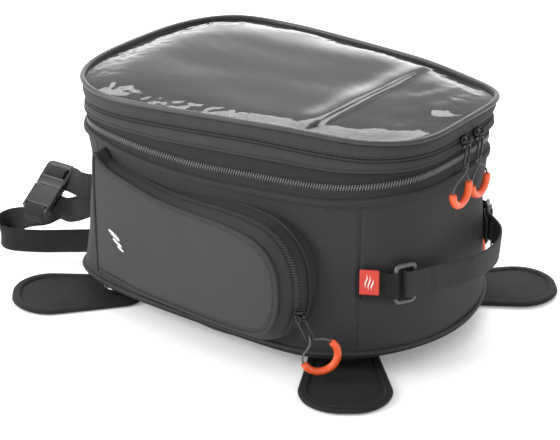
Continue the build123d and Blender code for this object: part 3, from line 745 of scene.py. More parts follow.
lower_tape_top = COIL - 0.3
lower_tape_rows = section((BIND - 1.0, 4.2), (BIND + 1.4, 3.9), (BIND + (lower_tape_top - BIND) * 0.5, 4.4),
                          (lower_tape_top, 5.2), (lower_tape_top, 6.4), (BIND + 1.0, 6.6), (BIND - 1.0, 6.2))
lower_tape = grid("expansion_tape_lower", lower_tape_rows, TAPE, close_v=True)
settle(lower_tape, "bag", "zip_coil", "expansion_zip_lower")
tape_rise = SEAM - COIL
upper_tape_rows = section((COIL + 0.3, 5.2), (COIL + tape_rise * 0.45, 5.8), (COIL + tape_rise * 0.8, 5.6),
                          (SEAM + 0.8, 5.0), (SEAM + 0.8, 7.4), (COIL + tape_rise * 0.5, 7.4),
                          (COIL + 0.3, 6.6))
upper_tape = grid("expansion_tape_upper", upper_tape_rows, TAPE, close_v=True)
settle(upper_tape, "expansion_ring", "zip_coil", "expansion_zip_upper")
for half, sign, body in (("lower", -1, "bag"), ("upper", 1, "expansion_ring")):
    coil = coil_teeth(f"expansion_coil_{half}", place(COIL, 4.3), plan_outward, COIL_PLASTIC, sign)
    settle(coil, body, "zip_coil")
sew("coil_stitches_lower", place(COIL - 3.9, 4.9), plan_outward, "bag", "zip_coil", closed=True, spacing=2.4)
sew("coil_stitches_upper", place(COIL + 3.9, 5.3), plan_outward, "expansion_ring", "zip_coil",
    closed=True, spacing=2.4)

# Folded gusset behind the zipper.
gusset_rows = []
for step in range(13):
    share = step / 12
    inset = np.interp(share, (0.0, 0.1, 0.8, 1.0), (10.6, 12.0, 12.0, 7.2))
    gusset_rows.append(place(166.0 + 15.0 * share, inset + 0.6 * math.sin(share * TWO_PI * 2)))
gusset_rows += section((181.0, 9.0), (178.6, 13.8), (166.0, 13.8))
gusset = grid("gusset_cloth", gusset_rows, LINING, close_v=True)
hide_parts("expansion_gusset")
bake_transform(gusset)


# ---------------------------------------------------------------- upper ring
def ring_bulge(share, height):
    spots = place(height, 3.0)
    return -0.9 * math.sin(math.pi * share) + 0.35 * wave_noise(spots, (30, 30, 12), 4.0)


ring_outer = wall_rows(SEAM + 0.3, ZIP - 3.4, 12, 2.4, ring_bulge)
ring_rows = section((0.9, 8.0), (-0.5, 5.2), (-0.5, 3.2), line=SEAM) + ring_outer
ring_rows += section((-2.9, 2.9), (-2.9, 6.4), line=ZIP)
piece = grid("upper_ring_wall", ring_rows, RING_CLOTH, close_v=True)
settle(piece, "expansion_ring", "shell_fabric", "upper_ring")
piece = tube("upper_ring_hem", place(SEAM + 0.6, 2.2), 1.3, RING_CLOTH, sides=8)
settle(piece, "expansion_ring", "shell_fabric")


# Main zipper: coils on the inside, so two ribbed tapes meet in a fine line.
ZIP_EDGE = 4.4
ZIP_HALVES = (("lower", -1, "expansion_ring"), ("upper", 1, "lid"))
ZIP_PROFILE = ((0.25, 5.4), (0.35, 4.4), (1.6, 4.0), (ZIP_EDGE, 4.2), (ZIP_EDGE, 6.6), (0.3, 6.4))
for half, sign, body in ZIP_HALVES:
    rows = section(*((sign * rise, inset) for rise, inset in ZIP_PROFILE), line=ZIP)
    tape = grid(f"main_tape_{half}", rows[::sign], TAPE, close_v=True)
    settle(tape, body, "zip_coil", f"main_zip_{half}")
for half, sign, body in ZIP_HALVES:
    spots, direction = evenly(place(ZIP + sign * 1.5, 3.9), 2.0, True)
    shape, faces = pellet(2.3, 1.05, 0.7)
    shape = [(p[1], p[0], p[2]) for p in shape]
    faces = [face[::-1] for face in faces]
    ridges = scatter(f"main_ridges_{half}", spots, direction, plan_outward(spots), shape, faces, RIDGE)
    settle(ridges, body, "zip_coil")


# ---------------------------------------------------------------- lid
def band_bulge(share, height):
    spots = place(height, 3.0)
    return -0.7 * math.sin(math.pi * share) + 0.3 * wave_noise(spots, (26, 26, 14), 7.0)


band_outer = wall_rows(ZIP + 3.3, RIM - 1.8, 9, 2.2, band_bulge)
band_rows = section((2.9, 6.0), (2.9, 2.8), line=ZIP) + band_outer
band_rows += section((-1.0, 3.4), (-1.4, 6.5), line=RIM)
settle(grid("lid_side_band", band_rows, LID_CLOTH, close_v=True), "lid", "lid_fabric", "lid_band")
sew("band_stitches", place(ZIP + 5.6, 1.8), plan_outward, "lid", "lid_fabric", closed=True, spacing=3.2)
piece = tube("rim_edge_piping", place(RIM + 0.9, 1.7), 2.4, PIPING, sides=16)
settle(piece, "lid", "vinyl_piping", "rim_piping")
settle(tube("rim_inner_fold", place(RIM - 0.4, 3.9), 0.9, CLOTH_PIPING, sides=8), "lid", "trim_fabric")


def edge_share(points):
    """0 at the rim and rising inward: distance from the rim in millimetres, roughly."""
    x = points[:, 0] / 181.0
    y = points[:, 1] / (118.5 * (1 - 0.22 * x))
    return (1 - (np.abs(x) ** 3.6 + np.abs(y) ** 3.6) ** (1 / 3.6)) * 118.0


def panel_lift(points, share):
    points = points.copy()
    deep = np.clip(edge_share(points) / 30.0, 0, 1)
    relief = 0.8 * wave_noise(points, (60, 45, 50), 11.0) + 0.25 * wave_noise(points, (17, 17, 17), 31.0)
    points[:, 2] = 211.6 + 4.0 * deep + relief * deep
    return points


lid_rows = section((204.6, 12.0), (204.6, 7.0))
panel = fill("lid_panel_cloth", place(211.6, 6.2), 34, panel_lift, PANEL_CLOTH, extra=lid_rows)
settle(panel, "lid", "lid_fabric", "lid_panel")
under = fill("lid_lining", place(204.5, 7.4), 10, as_it_is, LINING)
settle(under, "lid", "lid_fabric")


def film_lift(points, share):
    """Clear film: it domes up from its sewn edge, tents over the pocket's hem and ripples near the edge."""
    points = points.copy()
    x = points[:, 0]
    y = points[:, 1]
    deep = np.clip(edge_share(points), 0, None)
    flat = np.column_stack([x, y, x * 0])
    reach = 15.0 + 7.0 * wave_noise(flat, (48, 48, 48), 61.0)
    rise = 1 - np.exp(-(deep / reach) ** 1.6)
    level = np.clip(deep / 70.0, 0, 1)
    level = level * level * (3 - 2 * level)
    points[:, 2] += level * (215.4 - points[:, 2])
    relief = 4.6 * rise
    hem_line = 88.0 + 0.03 * y
    tent = np.where(x < hem_line, np.exp(-(((x - hem_line) / 17.0) ** 2)),
                    np.exp(-(((x - hem_line) / 3.0) ** 2)))
    relief += 2.6 * tent * rise
    slow = wave_noise(flat, (85, 46, 60), 13.0)
    relief += 0.9 * slow * rise
    streaks = wave_noise(np.column_stack([x * 0.5 + y * 0.9, y * 0.35 - x * 0.1, x * 0]), (9, 14, 9), 17.0)
    relief += 0.07 * streaks * rise
    ripple = wave_noise(flat, (8, 8, 8), 23.0)
    relief += 0.30 * ripple * np.exp(-((deep - 12.0) / 10.0) ** 2)
    loose = np.clip((x - 100.0) / 40.0, 0, 1)
    relief += 1.1 * loose * rise * wave_noise(flat, (20, 26, 20), 29.0)
    points[:, 2] += relief
    return points


film = fill("map_window_film", place(RIM - 0.5, 3.8), 110, film_lift, FILM, sharp=180)
settle(film, "lid", "clear_film", "map_window")

# Hem of the map pocket under the film, and its stitches.
hem_flat = spline([(86, -84, 216), (88, -40, 216), (89, 0, 216), (90, 40, 216), (92, 84, 216)], 60)
hem = panel_lift(hem_flat, 0.5) + np.array([0, 0, 0.7])
settle(ribbon("map_pocket_hem", hem, (1, 0, 0), 8.0, 0.9, TAPE), "lid", "trim_fabric")
sew("map_hem_stitches", hem + np.array([-2.8, 0, 0.6]), (0, 0, 1), "lid")


# ---------------------------------------------------------------- side pockets
LEAN = math.atan2(17.0, 219.0)
POCKET_X = np.array([math.cos(LEAN), -math.sin(LEAN), 0.0])
POCKET_Y = np.array([0.0, 0.0, 1.0])
POCKET_OUT = np.array([-math.sin(LEAN), -math.cos(LEAN), 0.0])
POCKET_ORIGIN = np.array([-126.0, -134.0, 0.0])
POCKET_LINE = [
    (3, 153), (14, 150), (36, 143.5), (76, 135.5), (100, 133.5), (126, 133), (150, 133), (172, 131.5),
    (192, 128), (206, 120), (215, 107), (218.5, 90), (217, 68), (209, 50), (198, 41.5), (181, 37.5),
    (150, 36), (123, 35.5), (61, 36), (30, 39.5), (8, 43), (1, 47),
]
SIDES = 260


def pocket_to_row(local):
    """Local points (along, up, out of the face) in the row frame, on the near side."""
    local = np.asarray(local, float)
    return POCKET_ORIGIN + local[:, :1] * POCKET_X + local[:, 1:2] * POCKET_Y + local[:, 2:3] * POCKET_OUT


pocket_loop = spline([(x, y, 0) for x, y in POCKET_LINE], SIDES, closed=True)
ahead = unit(np.roll(pocket_loop, -3, 0) - np.roll(pocket_loop, 3, 0))
pocket_normal = np.stack([-ahead[:, 1], ahead[:, 0]], -1)
if (pocket_normal * (pocket_loop[:, :2] - [110, 90])).sum() < 0:
    pocket_normal = -pocket_normal


def pocket_ring(depth, grow):
    """The pocket's outline at a depth behind its face, grown outward most at its right end."""
    share = np.clip(pocket_loop[:, 0] / 218.0, 0, 1)
    left = np.clip(-pocket_normal[:, 0], 0, 1)
    local = pocket_loop.copy()
    local[:, :2] += pocket_normal * (grow * (0.35 + 0.65 * share**1.5) * (1 - 0.95 * left))[:, None]
    local[:, 0] += 0.3 * left * max(depth, 0.0)
    local[:, 2] = -depth
    return local


def pocket_face_lift(points, share):
    """The face's padding: soft at its edge, with a broad hollow and slow creases."""
    points = points.copy()
    x = points[:, 0]
    y = points[:, 1]
    inside = np.sqrt(((points[:, None, :2] - pocket_loop[None, :, :2]) ** 2).sum(2)).min(1)
    soft = 1 - np.exp(-inside / 14.0)
    crown = 3.0 * soft - 1.6 * np.exp(-(((x - 110) / 60) ** 2) - ((y - 85) / 34) ** 2)
    relief = 1.1 * wave_noise(points, (60, 40, 50), 41.0) + 0.35 * wave_noise(points, (20, 14, 20), 44.0)
    points[:, 2] = crown + relief * soft
    return points


def mirror_points(points):
    """Points moved to the far side of the bag."""
    return points * np.array([1.0, -1.0, 1.0])


def side_points(local, side):
    """Local pocket points in the row frame, on the near or the far side."""
    points = pocket_to_row(local)
    return points if side == "near" else mirror_points(points)


# Behind the face: (depth, growth) of the gusset's rings, and of the zipper tape's. The tape's middle
# one carries the coil.
POCKET_GUSSET = (
    (0.6, 0.2), (3, 3.4), (7, 8.2), (9, 10.0), (15, 11.4), (20, 12.0), (26, 12.6), (33, 12.8),
    (40, 12.8),
)
POCKET_TAPE = ((8.6, 10.6), (10.4, 11.2), (12.0, 11.6), (13.6, 12.0), (15.4, 12.2))
FACE_RINGS = 36
FACE_MIDDLE = np.array([112.0, 88.0, 0.0])
for side in ("near", "far"):
    local_rows = [pocket_ring(1.0, -0.2)]
    inner = pocket_ring(0.0, -1.6)
    for ring in range(FACE_RINGS):
        share = 1 - ring / FACE_RINGS
        local_rows.append(pocket_face_lift(FACE_MIDDLE + (inner - FACE_MIDDLE) * share, share))
    local_rows.append(pocket_face_lift(FACE_MIDDLE[None, :].copy(), 0.0))
    rows = [side_points(row, side) for row in local_rows]
    vertices = np.concatenate(rows)
    faces = band_faces(len(rows) - 1, SIDES, tip=True)
    if side == "far":
        faces = [face[::-1] for face in faces]
    flat = vertices[:, [0, 2]] * MM
    uv = np.concatenate([flat[list(face)] for face in faces])
    face_piece = new_object(f"{side}_pocket_face", vertices, faces, POCKET_CLOTH, uv, 60)
    settle(face_piece, "bag", "pocket_fabric")

    gusset_rings = [side_points(pocket_ring(depth, grow), side) for depth, grow in POCKET_GUSSET]
    gusset_mesh = grid(f"{side}_pocket_gusset", gusset_rings, CLOTH)
    settle(gusset_mesh, "bag", "pocket_fabric", f"{side}_pocket")
    piece = tube(f"{side}_pocket_edge", side_points(pocket_ring(0.0, 0.2), side), 1.7, CLOTH_PIPING,
                 sides=12, up=POCKET_OUT)
    settle(piece, "bag", "vinyl_piping", f"{side}_pocket_piping")

    # The zipper runs over the top and down the rider's side.
    keep = (pocket_loop[:, 1] > 50) & (pocket_loop[:, 0] > 22)
    index = np.nonzero(keep)[0]
    gap = np.nonzero(np.diff(index) > 1)[0]
    if len(gap):
        index = np.concatenate([index[gap[0] + 1:], index[:gap[0] + 1]])
    track = [side_points(pocket_ring(depth, grow)[index], side) for depth, grow in POCKET_TAPE]
    tape = grid(f"{side}_pocket_tape", track, TAPE, close_u=False)
    settle(tape, "bag", "zip_coil", f"{side}_pocket_zip")
    centre_line = track[len(track) // 2]
    depths = np.full(len(index), -10.0)
    beyond = np.column_stack([pocket_loop[index, :2] + pocket_normal[index] * 20, depths])
    away = side_points(beyond, side) - centre_line

    def track_outward(spots, line=centre_line, away=away):
        nearest = np.argmin(((spots[:, None, :] - line[None]) ** 2).sum(2), 1)
        return away[nearest]

    for sign, word in ((1, "front"), (-1, "back")):
        piece = coil_teeth(f"{side}_pocket_coil_{word}", centre_line, track_outward, POCKET_COIL, sign,
                           closed=False)
        settle(piece, "bag", "zip_coil")
    piece = tube(f"{side}_pocket_seam", side_points(pocket_ring(26.5, 14.0)[index], side), 1.3, CLOTH_PIPING,
                 closed=False, sides=8, up=POCKET_OUT)
    settle(piece, "bag", "trim_fabric")
    facing = POCKET_OUT if side == "near" else mirror_points(POCKET_OUT[None])[0]
    sew(f"{side}_pocket_stitches", side_points(pocket_ring(-1.1, -5.0), side), facing, "bag", closed=True,
        spacing=3.4)


# Generic white wave mark printed on the near pocket.
def on_near_face(x, y):
    local = pocket_face_lift(np.array([[x, y, 0.0]]), 0.0)
    local[0, 2] += 0.35
    return pocket_to_row(local)[0]


MARK = moulded("printed_mark", (0.80, 0.80, 0.80), 0.6, 0.02)
for number, (x, y, size) in enumerate(((27.0, 86.0, 7.5), (31.0, 79.5, 6.0), (35.0, 74.5, 4.2))):
    blade = []
    for angle in turns(24):
        px = x + size * math.cos(angle) * 0.95
        py = y + size * 0.26 * math.sin(angle) - 0.45 * size * math.cos(angle)
        blade.append(on_near_face(px, py))
    piece = fill(f"printed_wave_{number}", blade, 3, as_it_is, MARK)
    settle(piece, "bag", "label_rubber")


# ---------------------------------------------------------------- handle
TAB = math.radians(60)


def handle_frame(side):
    """Centre and directions of one ring: along the bag's corner, and outward. The far corner is slack,
    so the far ring sits deeper."""
    out = np.array([math.sin(TAB), side * math.cos(TAB), 0.0])
    along = np.array([-out[1], out[0], 0.0])
    sunk = 7.0 if side == 1 else 0.0
    return np.array([174.0, side * 78.0, 90.0]) - out * sunk, along, out


for name, side in (("near", -1), ("far", 1)):
    centre, along, out = handle_frame(side)
    bar = centre + along * side * 9.0
    # Moulded ring: a rounded rectangle of round bar.
    loop = np.array([centre + along * a + UP * u for a, u in rounded_corners(5.5, 13.5, 3.5, 5, 2)])
    dense = []
    for i in range(len(loop)):
        for t in np.linspace(0, 1, 4, endpoint=False):
            dense.append(loop[i] * (1 - t) + loop[(i + 1) % len(loop)] * t)
    piece = tube(f"{name}_ring_moulded", dense, 2.0, RING_PLASTIC, sides=14, up=out)
    settle(piece, "bag", "ring_plastic", f"{name}_ring")

    # Anchor tab: webbing sewn to the wall, folded round the ring's inner bar and brought back over itself.
    def wall_spot(distance, lift, bar=bar, side=side):
        """A point on the wall, a distance back from the bar towards the long side."""
        wall = place(90.0, 2.2)
        if side == -1:
            wall = wall[::-1]
        nearest = int(np.argmin(((wall - bar) ** 2).sum(1)))
        steps = int(round(distance / PERIMETER * COLUMNS))
        spot = wall[(nearest + steps) % COLUMNS]
        return spot + plan_outward(spot[None])[0] * lift

    path = [wall_spot(distance, 0.9) for distance in (34, 28, 22, 16, 10, 5)]
    for step in range(1, 12):
        angle = -math.pi / 2 + math.pi * step / 12
        path.append(bar - along * side * (3.0 * math.cos(angle) - 1.5) + out * 3.1 * math.sin(angle))
    folded_back = ((7, 5.2), (12, 3.4), (18, 2.6), (24, 2.5), (30, 2.5))
    path += [wall_spot(distance, lift) for distance, lift in folded_back]
    path = spline(path, 90)
    tab = ribbon(f"{name}_tab_web", path, UP, WEB_WIDTH, 1.3, WEBBING)
    settle(tab, "bag", "trim_fabric", f"{name}_anchor_tab")

# Handle: one webbing between the rings, turned back and sewn at both ends.
near_centre, near_along, near_out = handle_frame(-1)
outer_bar = near_centre + near_along * 9.0
web_end = outer_bar + near_along * 2.6
web_turn = outer_bar + near_along * 12 + near_out * 2.2
handle_knots = [
    web_end, web_turn, (200, -38, 90.6), (209.5, -20, 92), (212, 0, 92.8), (209.5, 20, 93.6), (200, 38, 95),
    mirror_points(web_turn) + [-6, -3.5, 3], mirror_points(web_end) + [-6.1, -3.5, 0.5],
]
handle_line = spline(handle_knots, 120)
tilt = np.linspace(0, 1, 120)
lean = np.column_stack([0.10 * np.sin(math.pi * tilt), 0.0 * tilt, np.ones(120)])
piece = ribbon("handle_web", handle_line, lean, 25.0, 2.0, HANDLE_WEB)
settle(piece, "bag", "handle_webbing", "handle_webbing")
for name, side in (("near", -1), ("far", 1)):
    centre, along, out = handle_frame(side)
    bar = centre - along * side * 9.0
    path = []
    forward = along * side
    for share in np.linspace(0, 1, 18):
        lift = 3.2 + 0.6 * math.sin(share * math.pi)
        path.append(bar - forward * (24.0 * (1 - share) + share) + out * lift)
    for step in range(1, 14):
        angle = math.pi / 2 - math.pi * step / 14
        path.append(bar + forward * (3.4 * math.cos(angle) + 6.5) + out * (3.6 * math.sin(angle) + 0.4))
    for share in np.linspace(0, 1, 12):
        path.append(bar - forward * (1.0 + 15.0 * share) + out * (-3.2 + 2.2 * share))
    loop_web = ribbon(f"{name}_handle_fold", path, UP, 25.0, 1.4, HANDLE_WEB)
    settle(loop_web, "bag", "handle_webbing")
    for offset in (15.0, 18.0):
        line = [bar - forward * offset + out * 4.7 + UP * z for z in np.linspace(-10.5, 10.5, 20)]
        sew(f"{name}_handle_stitches_{int(offset)}", line, out, "bag", spacing=2.4)

# Small moulded label beside the near tab, with a generic wave.
wall = place(94.5, 2.2)
label_wall = wall[int(np.argmin(((wall - [151.5, -98.0, 94.5]) ** 2).sum(1)))]
out = plan_outward(label_wall[None])[0]
along = np.cross(UP, out)
label_middle = label_wall + out * 4.6

# Its edge: (how far the outline shrinks, height above the middle) from the wall outward.
LABEL_EDGE = ((0.0, -0.6), (0.0, 0.2), (0.25, 0.5), (0.9, 0.62))
label_rows = []
for shrink, height in LABEL_EDGE:
    corners = rounded_corners(7.4, 10.6, 1 - shrink, 4, 2)
    label_rows.append([label_middle + along * a + UP * u + out * height for a, u in corners])
label = fill("side_label_moulded", label_rows[-1], 2, as_it_is, LABEL, extra=label_rows)
settle(label, "bag", "label_rubber", "side_label")
for number, (a, u, length) in enumerate(((-2.6, 1.5, 12), (0.0, 0.0, 13), (2.6, -1.5, 10))):
    points = []
    for t in np.linspace(-0.5, 0.5, 14):
        sway = a + 0.9 * math.sin(t * 5)
        points.append(label_middle + along * sway + UP * (u + t * length) + out * 0.75)
    swell = 0.55 * np.sin(np.linspace(0.15, math.pi - 0.15, 14))
    wave = tube(f"label_wave_{number}", points, swell, LABEL_MARK, closed=False, sides=8, up=along)
    settle(wave, "bag", "label_rubber")


# ---------------------------------------------------------------- front strap and buckle
TILT = math.radians(37)
BUCKLE_ALONG = np.array([0.0, math.cos(TILT), math.sin(TILT)])
BUCKLE_OUT = np.array([0.0, -math.sin(TILT), math.cos(TILT)])
BUCKLE_AT = np.array([-249.0, -61.0, 68.0])
for node, body in (("buckle_female", "bag"), ("buckle_male", "buckle_half")):
    settle(refine(node, BUCKLE, 0.9, 3), body, "buckle_plastic", node)


def buckle_point(x, along, out):
    """A point in the buckle's own frame: across, along and out of it."""
    return BUCKLE_AT + np.array([1.0, 0, 0]) * x + BUCKLE_ALONG * along + BUCKLE_OUT * out


def buckle_rail(name, body, x, start, end, out, radius):
    line = [buckle_point(x, start + (end - start) * t, out) for t in np.linspace(0, 1, 10)]
    settle(tube(name, line, radius, BUCKLE, closed=False, sides=10, up=BUCKLE_OUT), body, "buckle_plastic")


for side in (-1, 1):
    buckle_rail(f"buckle_female_rail_{side + 1}", "bag", side * 15.0, -25.5, -1.5, 2.6, 1.7)
    buckle_rail(f"buckle_male_rail_{side + 1}", "buckle_half", side * 15.0, 1.2, 25.0, 2.2, 1.6)
for number, along_at in enumerate((10.5, 17.0, 24.6)):
    line = [buckle_point(x, along_at, 2.6) for x in np.linspace(-13.5, 13.5, 12)]
    piece = tube(f"buckle_bar_{number}", line, 1.5, BUCKLE, closed=False, sides=10, up=BUCKLE_OUT)
    settle(piece, "buckle_half", "buckle_plastic")


def strap_widths(count, keys):
    """Width directions along a strap, eased between (share, direction) keys."""
    shares = np.linspace(0, 1, count)
    where = [key[0] for key in keys]
    return np.stack([np.interp(shares, where, [key[1][axis] for key in keys]) for axis in range(3)], -1)


def buckle_frame(name, body, low, high, out, radius):
    """A rounded moulded frame round one half of the buckle."""
    middle = (low + high) / 2
    half = (high - low) / 2 - 4
    corners = [buckle_point(x, middle + y, out) for x, y in rounded_corners(11.5, half, 4, 6)]
    piece = tube(name, spline(corners, 120, closed=True), radius, BUCKLE, sides=12, up=BUCKLE_OUT)
    settle(piece, body, "buckle_plastic")


buckle_frame("buckle_male_frame", "buckle_half", 4.0, 26.5, 1.4, 2.2)
buckle_frame("buckle_female_frame", "bag", -27.0, -2.0, 1.2, 2.1)

# Webbing from the bag's front wall: on edge there, then flat against the back of the ladder lock.
upper_knots = [
    (-184, -60, 84), (-197, -60, 82), (-211, -58, 80), (-226, -52, 78.5), (-240, -47.5, 75.5),
    (-256, -46.5, 73.5),
]
upper_turn = ((0, (0, 0.1, 1)), (0.4, (0, 0.3, 0.95)), (0.8, (0, 0.75, 0.66)), (1, (0, 0.8, 0.6)))
upper_line = spline(upper_knots, 90)
upper_web = ribbon("front_web_upper", upper_line, strap_widths(90, upper_turn), WEB_WIDTH, 1.5, WEBBING)
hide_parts("upper_strap")
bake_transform(upper_web)
roll = [
    (-13, -6.6), (-4, -6.5), (4, -6.0), (10, -5.0), (16, -4.8), (20.5, -4.0), (22.8, -1.0),
    (22.2, 3.0), (18.4, 5.4), (13.6, 5.2), (10.6, 3.0), (9.4, 0.4),
]
roll_line = spline([buckle_point(0, a, o) for a, o in roll], 90)
settle(ribbon("ladder_lock_web", roll_line, (1, 0, 0), 24.0, 1.4, WEBBING), "buckle_half", "webbing")

# Loose tail: on edge, from behind the buckle back to the bag.
tail_knots = [
    (-257, -51, 46), (-245, -52, 45), (-231, -56.5, 47), (-218, -59, 52), (-206, -60.5, 58.5),
    (-189, -60.5, 68),
]
tail_web = ribbon("front_web_tail", spline(tail_knots, 90), (0, 0.12, 1), WEB_WIDTH, 1.4, WEBBING)
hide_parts("strap_tail")
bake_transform(tail_web)

# Lower webbing: on edge from the front wall, round a loose bend, then leaning flat under the buckle,
# where it meets the fold round the buckle's bar.
lower_knots = [
    (-187, -55, 20), (-202, -52.5, 19), (-226, -61.5, 16.2), (-247, -75, 15.5), (-266, -87, 16),
    (-278, -94.0, 17.5), (-287, -94, 20), (-291.5, -88.5, 23.5), (-290.5, -81.5, 27),
    (-283, -76.5, 30.5), (-272, -72.5, 33.5), (-260, -68.0, 35.5), (-249, -64, 36.2),
]
lower_turn = (
    (0, (0, 0.05, 1)), (0.58, (0, 0, 1)), (0.70, (-0.25, 0, 0.97)), (0.80, (-0.3, 0.5, 0.8)),
    (0.90, (-0.25, 0.86, 0.42)), (1, (-0.3, 0.93, 0.2)),
)
lower_line = spline(lower_knots, 190)
lower_web = ribbon("front_web_lower", lower_line, strap_widths(190, lower_turn), WEB_WIDTH, 1.5, WEBBING)
settle(lower_web, "bag", "webbing", "lower_strap")
fold_knots = [
    buckle_point(0, -18.0, 1.0), buckle_point(0, -21.5, 3.2), buckle_point(0, -26.5, 3.6),
    buckle_point(0, -30.0, 1.0), (-249, -87.5, 46.5), (-249, -85, 41.0), (-249, -78, 38.2),
    (-249, -68, 37.8), (-249, -61, 38.0),
]
settle(ribbon("buckle_bar_fold", spline(fold_knots, 80), (1, 0, 0), 24.3, 1.4, WEBBING), "bag", "webbing")


# ---------------------------------------------------------------- flaps and discs
# Each flap: its pivot, the way it points in degrees and how far it reaches.
FLAPS = {
    "rear_near": (118.0, -87.0, -55.0, 93.0),
    "rear_far": (124.0, 89.0, 37.0, 101.0),
    "front_near": (-133.0, -96.0, 221.0, 102.0),
    "front_far": (-133.0, 96.0, 135.0, 97.0),
}
# Radii of the circles whose hull is a flap's outline.
FLAP_NOSE = 37.0
FLAP_TAIL = 20.0
# Rows round a flap's rim from under it to its top: (inset from the outline, height).
FLAP_RIM = (
    (14, 0.05), (3, 0.05), (0.6, 0.6), (0.0, 1.8), (0.5, 3.4), (1.8, 4.3), (4.5, 4.4), (7.6, 4.2),
    (8.4, 3.2),
)
DISC_RADIUS = 15.0


def flap_edge(inset, height, reach_out):
    """The flap's outline: the hull of two outer and two tail circles, pulled in by inset."""
    tip = reach_out - FLAP_NOSE
    circles = [(x, side * y, radius) for x, y, radius in ((tip, 4.0, FLAP_NOSE), (-2.0, 12.0, FLAP_TAIL))
               for side in (1, -1)]
    points = []
    for angle in turns(720):
        c, s = math.cos(angle), math.sin(angle)
        x, y, r = max((cx * c + cy * s + cr, cx, cy, cr) for cx, cy, cr in circles)[1:]
        points.append((x + (r - inset) * c, y + (r - inset) * s, height))
    points.append(points[0])
    points = np.asarray(points)
    along = lengths(points)
    return at_lengths(points, along, np.linspace(0, along[-1], 220, endpoint=False))


for name, (pivot_x, pivot_y, angle, flap_reach) in FLAPS.items():
    turned = math.radians(angle)
    cosine = math.cos(turned)
    sine = math.sin(turned)
    rotation = np.array([[cosine, sine, 0], [-sine, cosine, 0], [0, 0, 1.0]])
    pivot = np.array([pivot_x, pivot_y, 0.0])
    seed = pivot_x * 0.1

    # Flap points in the row frame, with the flap's outer end lifted a little.
    def to_row(local, rotation=rotation, pivot=pivot, seed=seed):
        local = np.asarray(local, float).copy()
        reach = np.clip((local[:, 0] - 15) / 80, 0, 1)
        lift = 0.9 * reach * (1 + wave_noise(local, (45, 45, 400), seed)) * (local[:, 2] > 0.2)
        local[:, 2] += lift
        return local @ rotation + pivot

    # The padded top: it crowns in the middle and is pressed flat round the disc.
    def flap_lift(points, share, rotation=rotation, pivot=pivot, seed=seed):
        local = (points - pivot) @ rotation.T
        crown = 1.4 * (1 - share**3) + 0.5 * wave_noise(local, (24, 24, 400), seed + 5)
        local[:, 2] = 3.6 + crown
        near_disc = np.exp(-((local[:, 0] ** 2 + local[:, 1] ** 2) / 20.0**2))
        local[:, 2] = local[:, 2] * (1 - near_disc) + 5.0 * near_disc
        return local @ rotation + pivot

    rows = [to_row(flap_edge(inset, height, flap_reach)) for inset, height in FLAP_RIM]
    edge = to_row(flap_edge(9.0, 3.2, flap_reach))
    middle = np.array([30.0, 0.0, 3.6]) @ rotation + pivot
    # The flap pad's cloth carries painted shade: its colour is darkened for the lit tops.
    flap = fill(f"{name}_flap_pad", edge, 26, flap_lift, FLAP_CLOTH_PAINTED_SHADE, centre=middle, extra=rows, sharp=50)
    flap.data.polygons.foreach_set("use_smooth", [True] * len(flap.data.polygons))
    settle(flap, f"{name}_flap_body", "base_fabric", f"{name}_flap")
    under = fill(f"{name}_flap_under", to_row(flap_edge(13.5, 0.1, flap_reach)), 4, as_it_is, BASE_CLOTH)
    settle(under, f"{name}_flap_body", "base_fabric")
    seam = to_row(flap_edge(6.4, 4.35, flap_reach))
    sew(f"{name}_flap_stitches", seam, UP, f"{name}_flap_body", "base_fabric", closed=True, spacing=3.4)
    discs = ((4.6, 10.8, f"{name}_flap_body", f"{name}_lower_disc"), (11.0, 16.0, "bag", "upper_discs"))
    for level, (low, high, body, node) in enumerate(discs):
        profile = (
            (2.0, low), (0.5, low + 0.2), (0.0, low + 1.0), (0.0, high - 1.2), (0.6, high - 0.3),
            (1.6, high), (9.0, high),
        )
        rows = []
        for inset, height in profile:
            radius = DISC_RADIUS - inset
            ring = [(radius * math.cos(a), radius * math.sin(a), height) for a in turns(72)]
            rows.append(np.array(ring) + pivot)
        disc = grid(f"{name}_disc_{level}", rows, DISC, cap=True, sharp=30)
        stands_for = [node] if level == 0 or name == "rear_near" else []
        settle(disc, body, "disc_plastic", *stands_for)


# ---------------------------------------------------------------- zipper pulls
def arc(first, low, last, count):
    """Points on the circular arc through three points."""
    a, b, c = (np.asarray(p, float) for p in (first, low, last))
    u = b - a
    v = c - a
    w = np.cross(u, v)
    centre = a + (np.cross(w, u) * (v @ v) + np.cross(v, w) * (u @ u)) / (2 * (w @ w))
    x = (a - centre) / np.linalg.norm(a - centre)
    y = np.cross(w / np.linalg.norm(w), x)
    sweep = math.atan2((c - centre) @ y, (c - centre) @ x) % TWO_PI
    radius = np.linalg.norm(a - centre)
    angles = np.linspace(0, sweep, count)
    return np.array([centre + radius * (x * math.cos(t) + y * math.sin(t)) for t in angles])


GRIP_STEPS = 44
# Each pull: where its slider is, the way the bag faces there, how far the puller leans in degrees,
# its grip (distance off the bag, then the start, lowest point and end along and up from the slider) and
# its cord's length.
POCKET_PULL = (
    (107.773, -142.117, 66.0), (0.70711, -0.70711, 0.0), 24.0,
    (7.8, (3.0, -42.0), (22.0, -50.0), (27.0, -23.0)), 53.6,
)
PULLS = {
    "lid_a": ((182.37, -4.0, 198.0), (1.0, 0.0, 0.0), -12.0,
              (14.0, (-37.0, -33.5), (-26.0, -47.0), (-11.0, -30.0)), 68.8),
    "lid_b": ((182.37, 18.0, 198.0), (1.0, 0.0, 0.0), -12.0,
              (6.8, (-14.0, -43.0), (1.0, -55.0), (12.0, -40.0)), 60.6),
    "near_pocket": POCKET_PULL,
    "far_pocket": POCKET_PULL,
    "expansion": ((-10.0, 123.08, 174.0), (0.0, 1.0, 0.0), 0.0, None, 0),
}


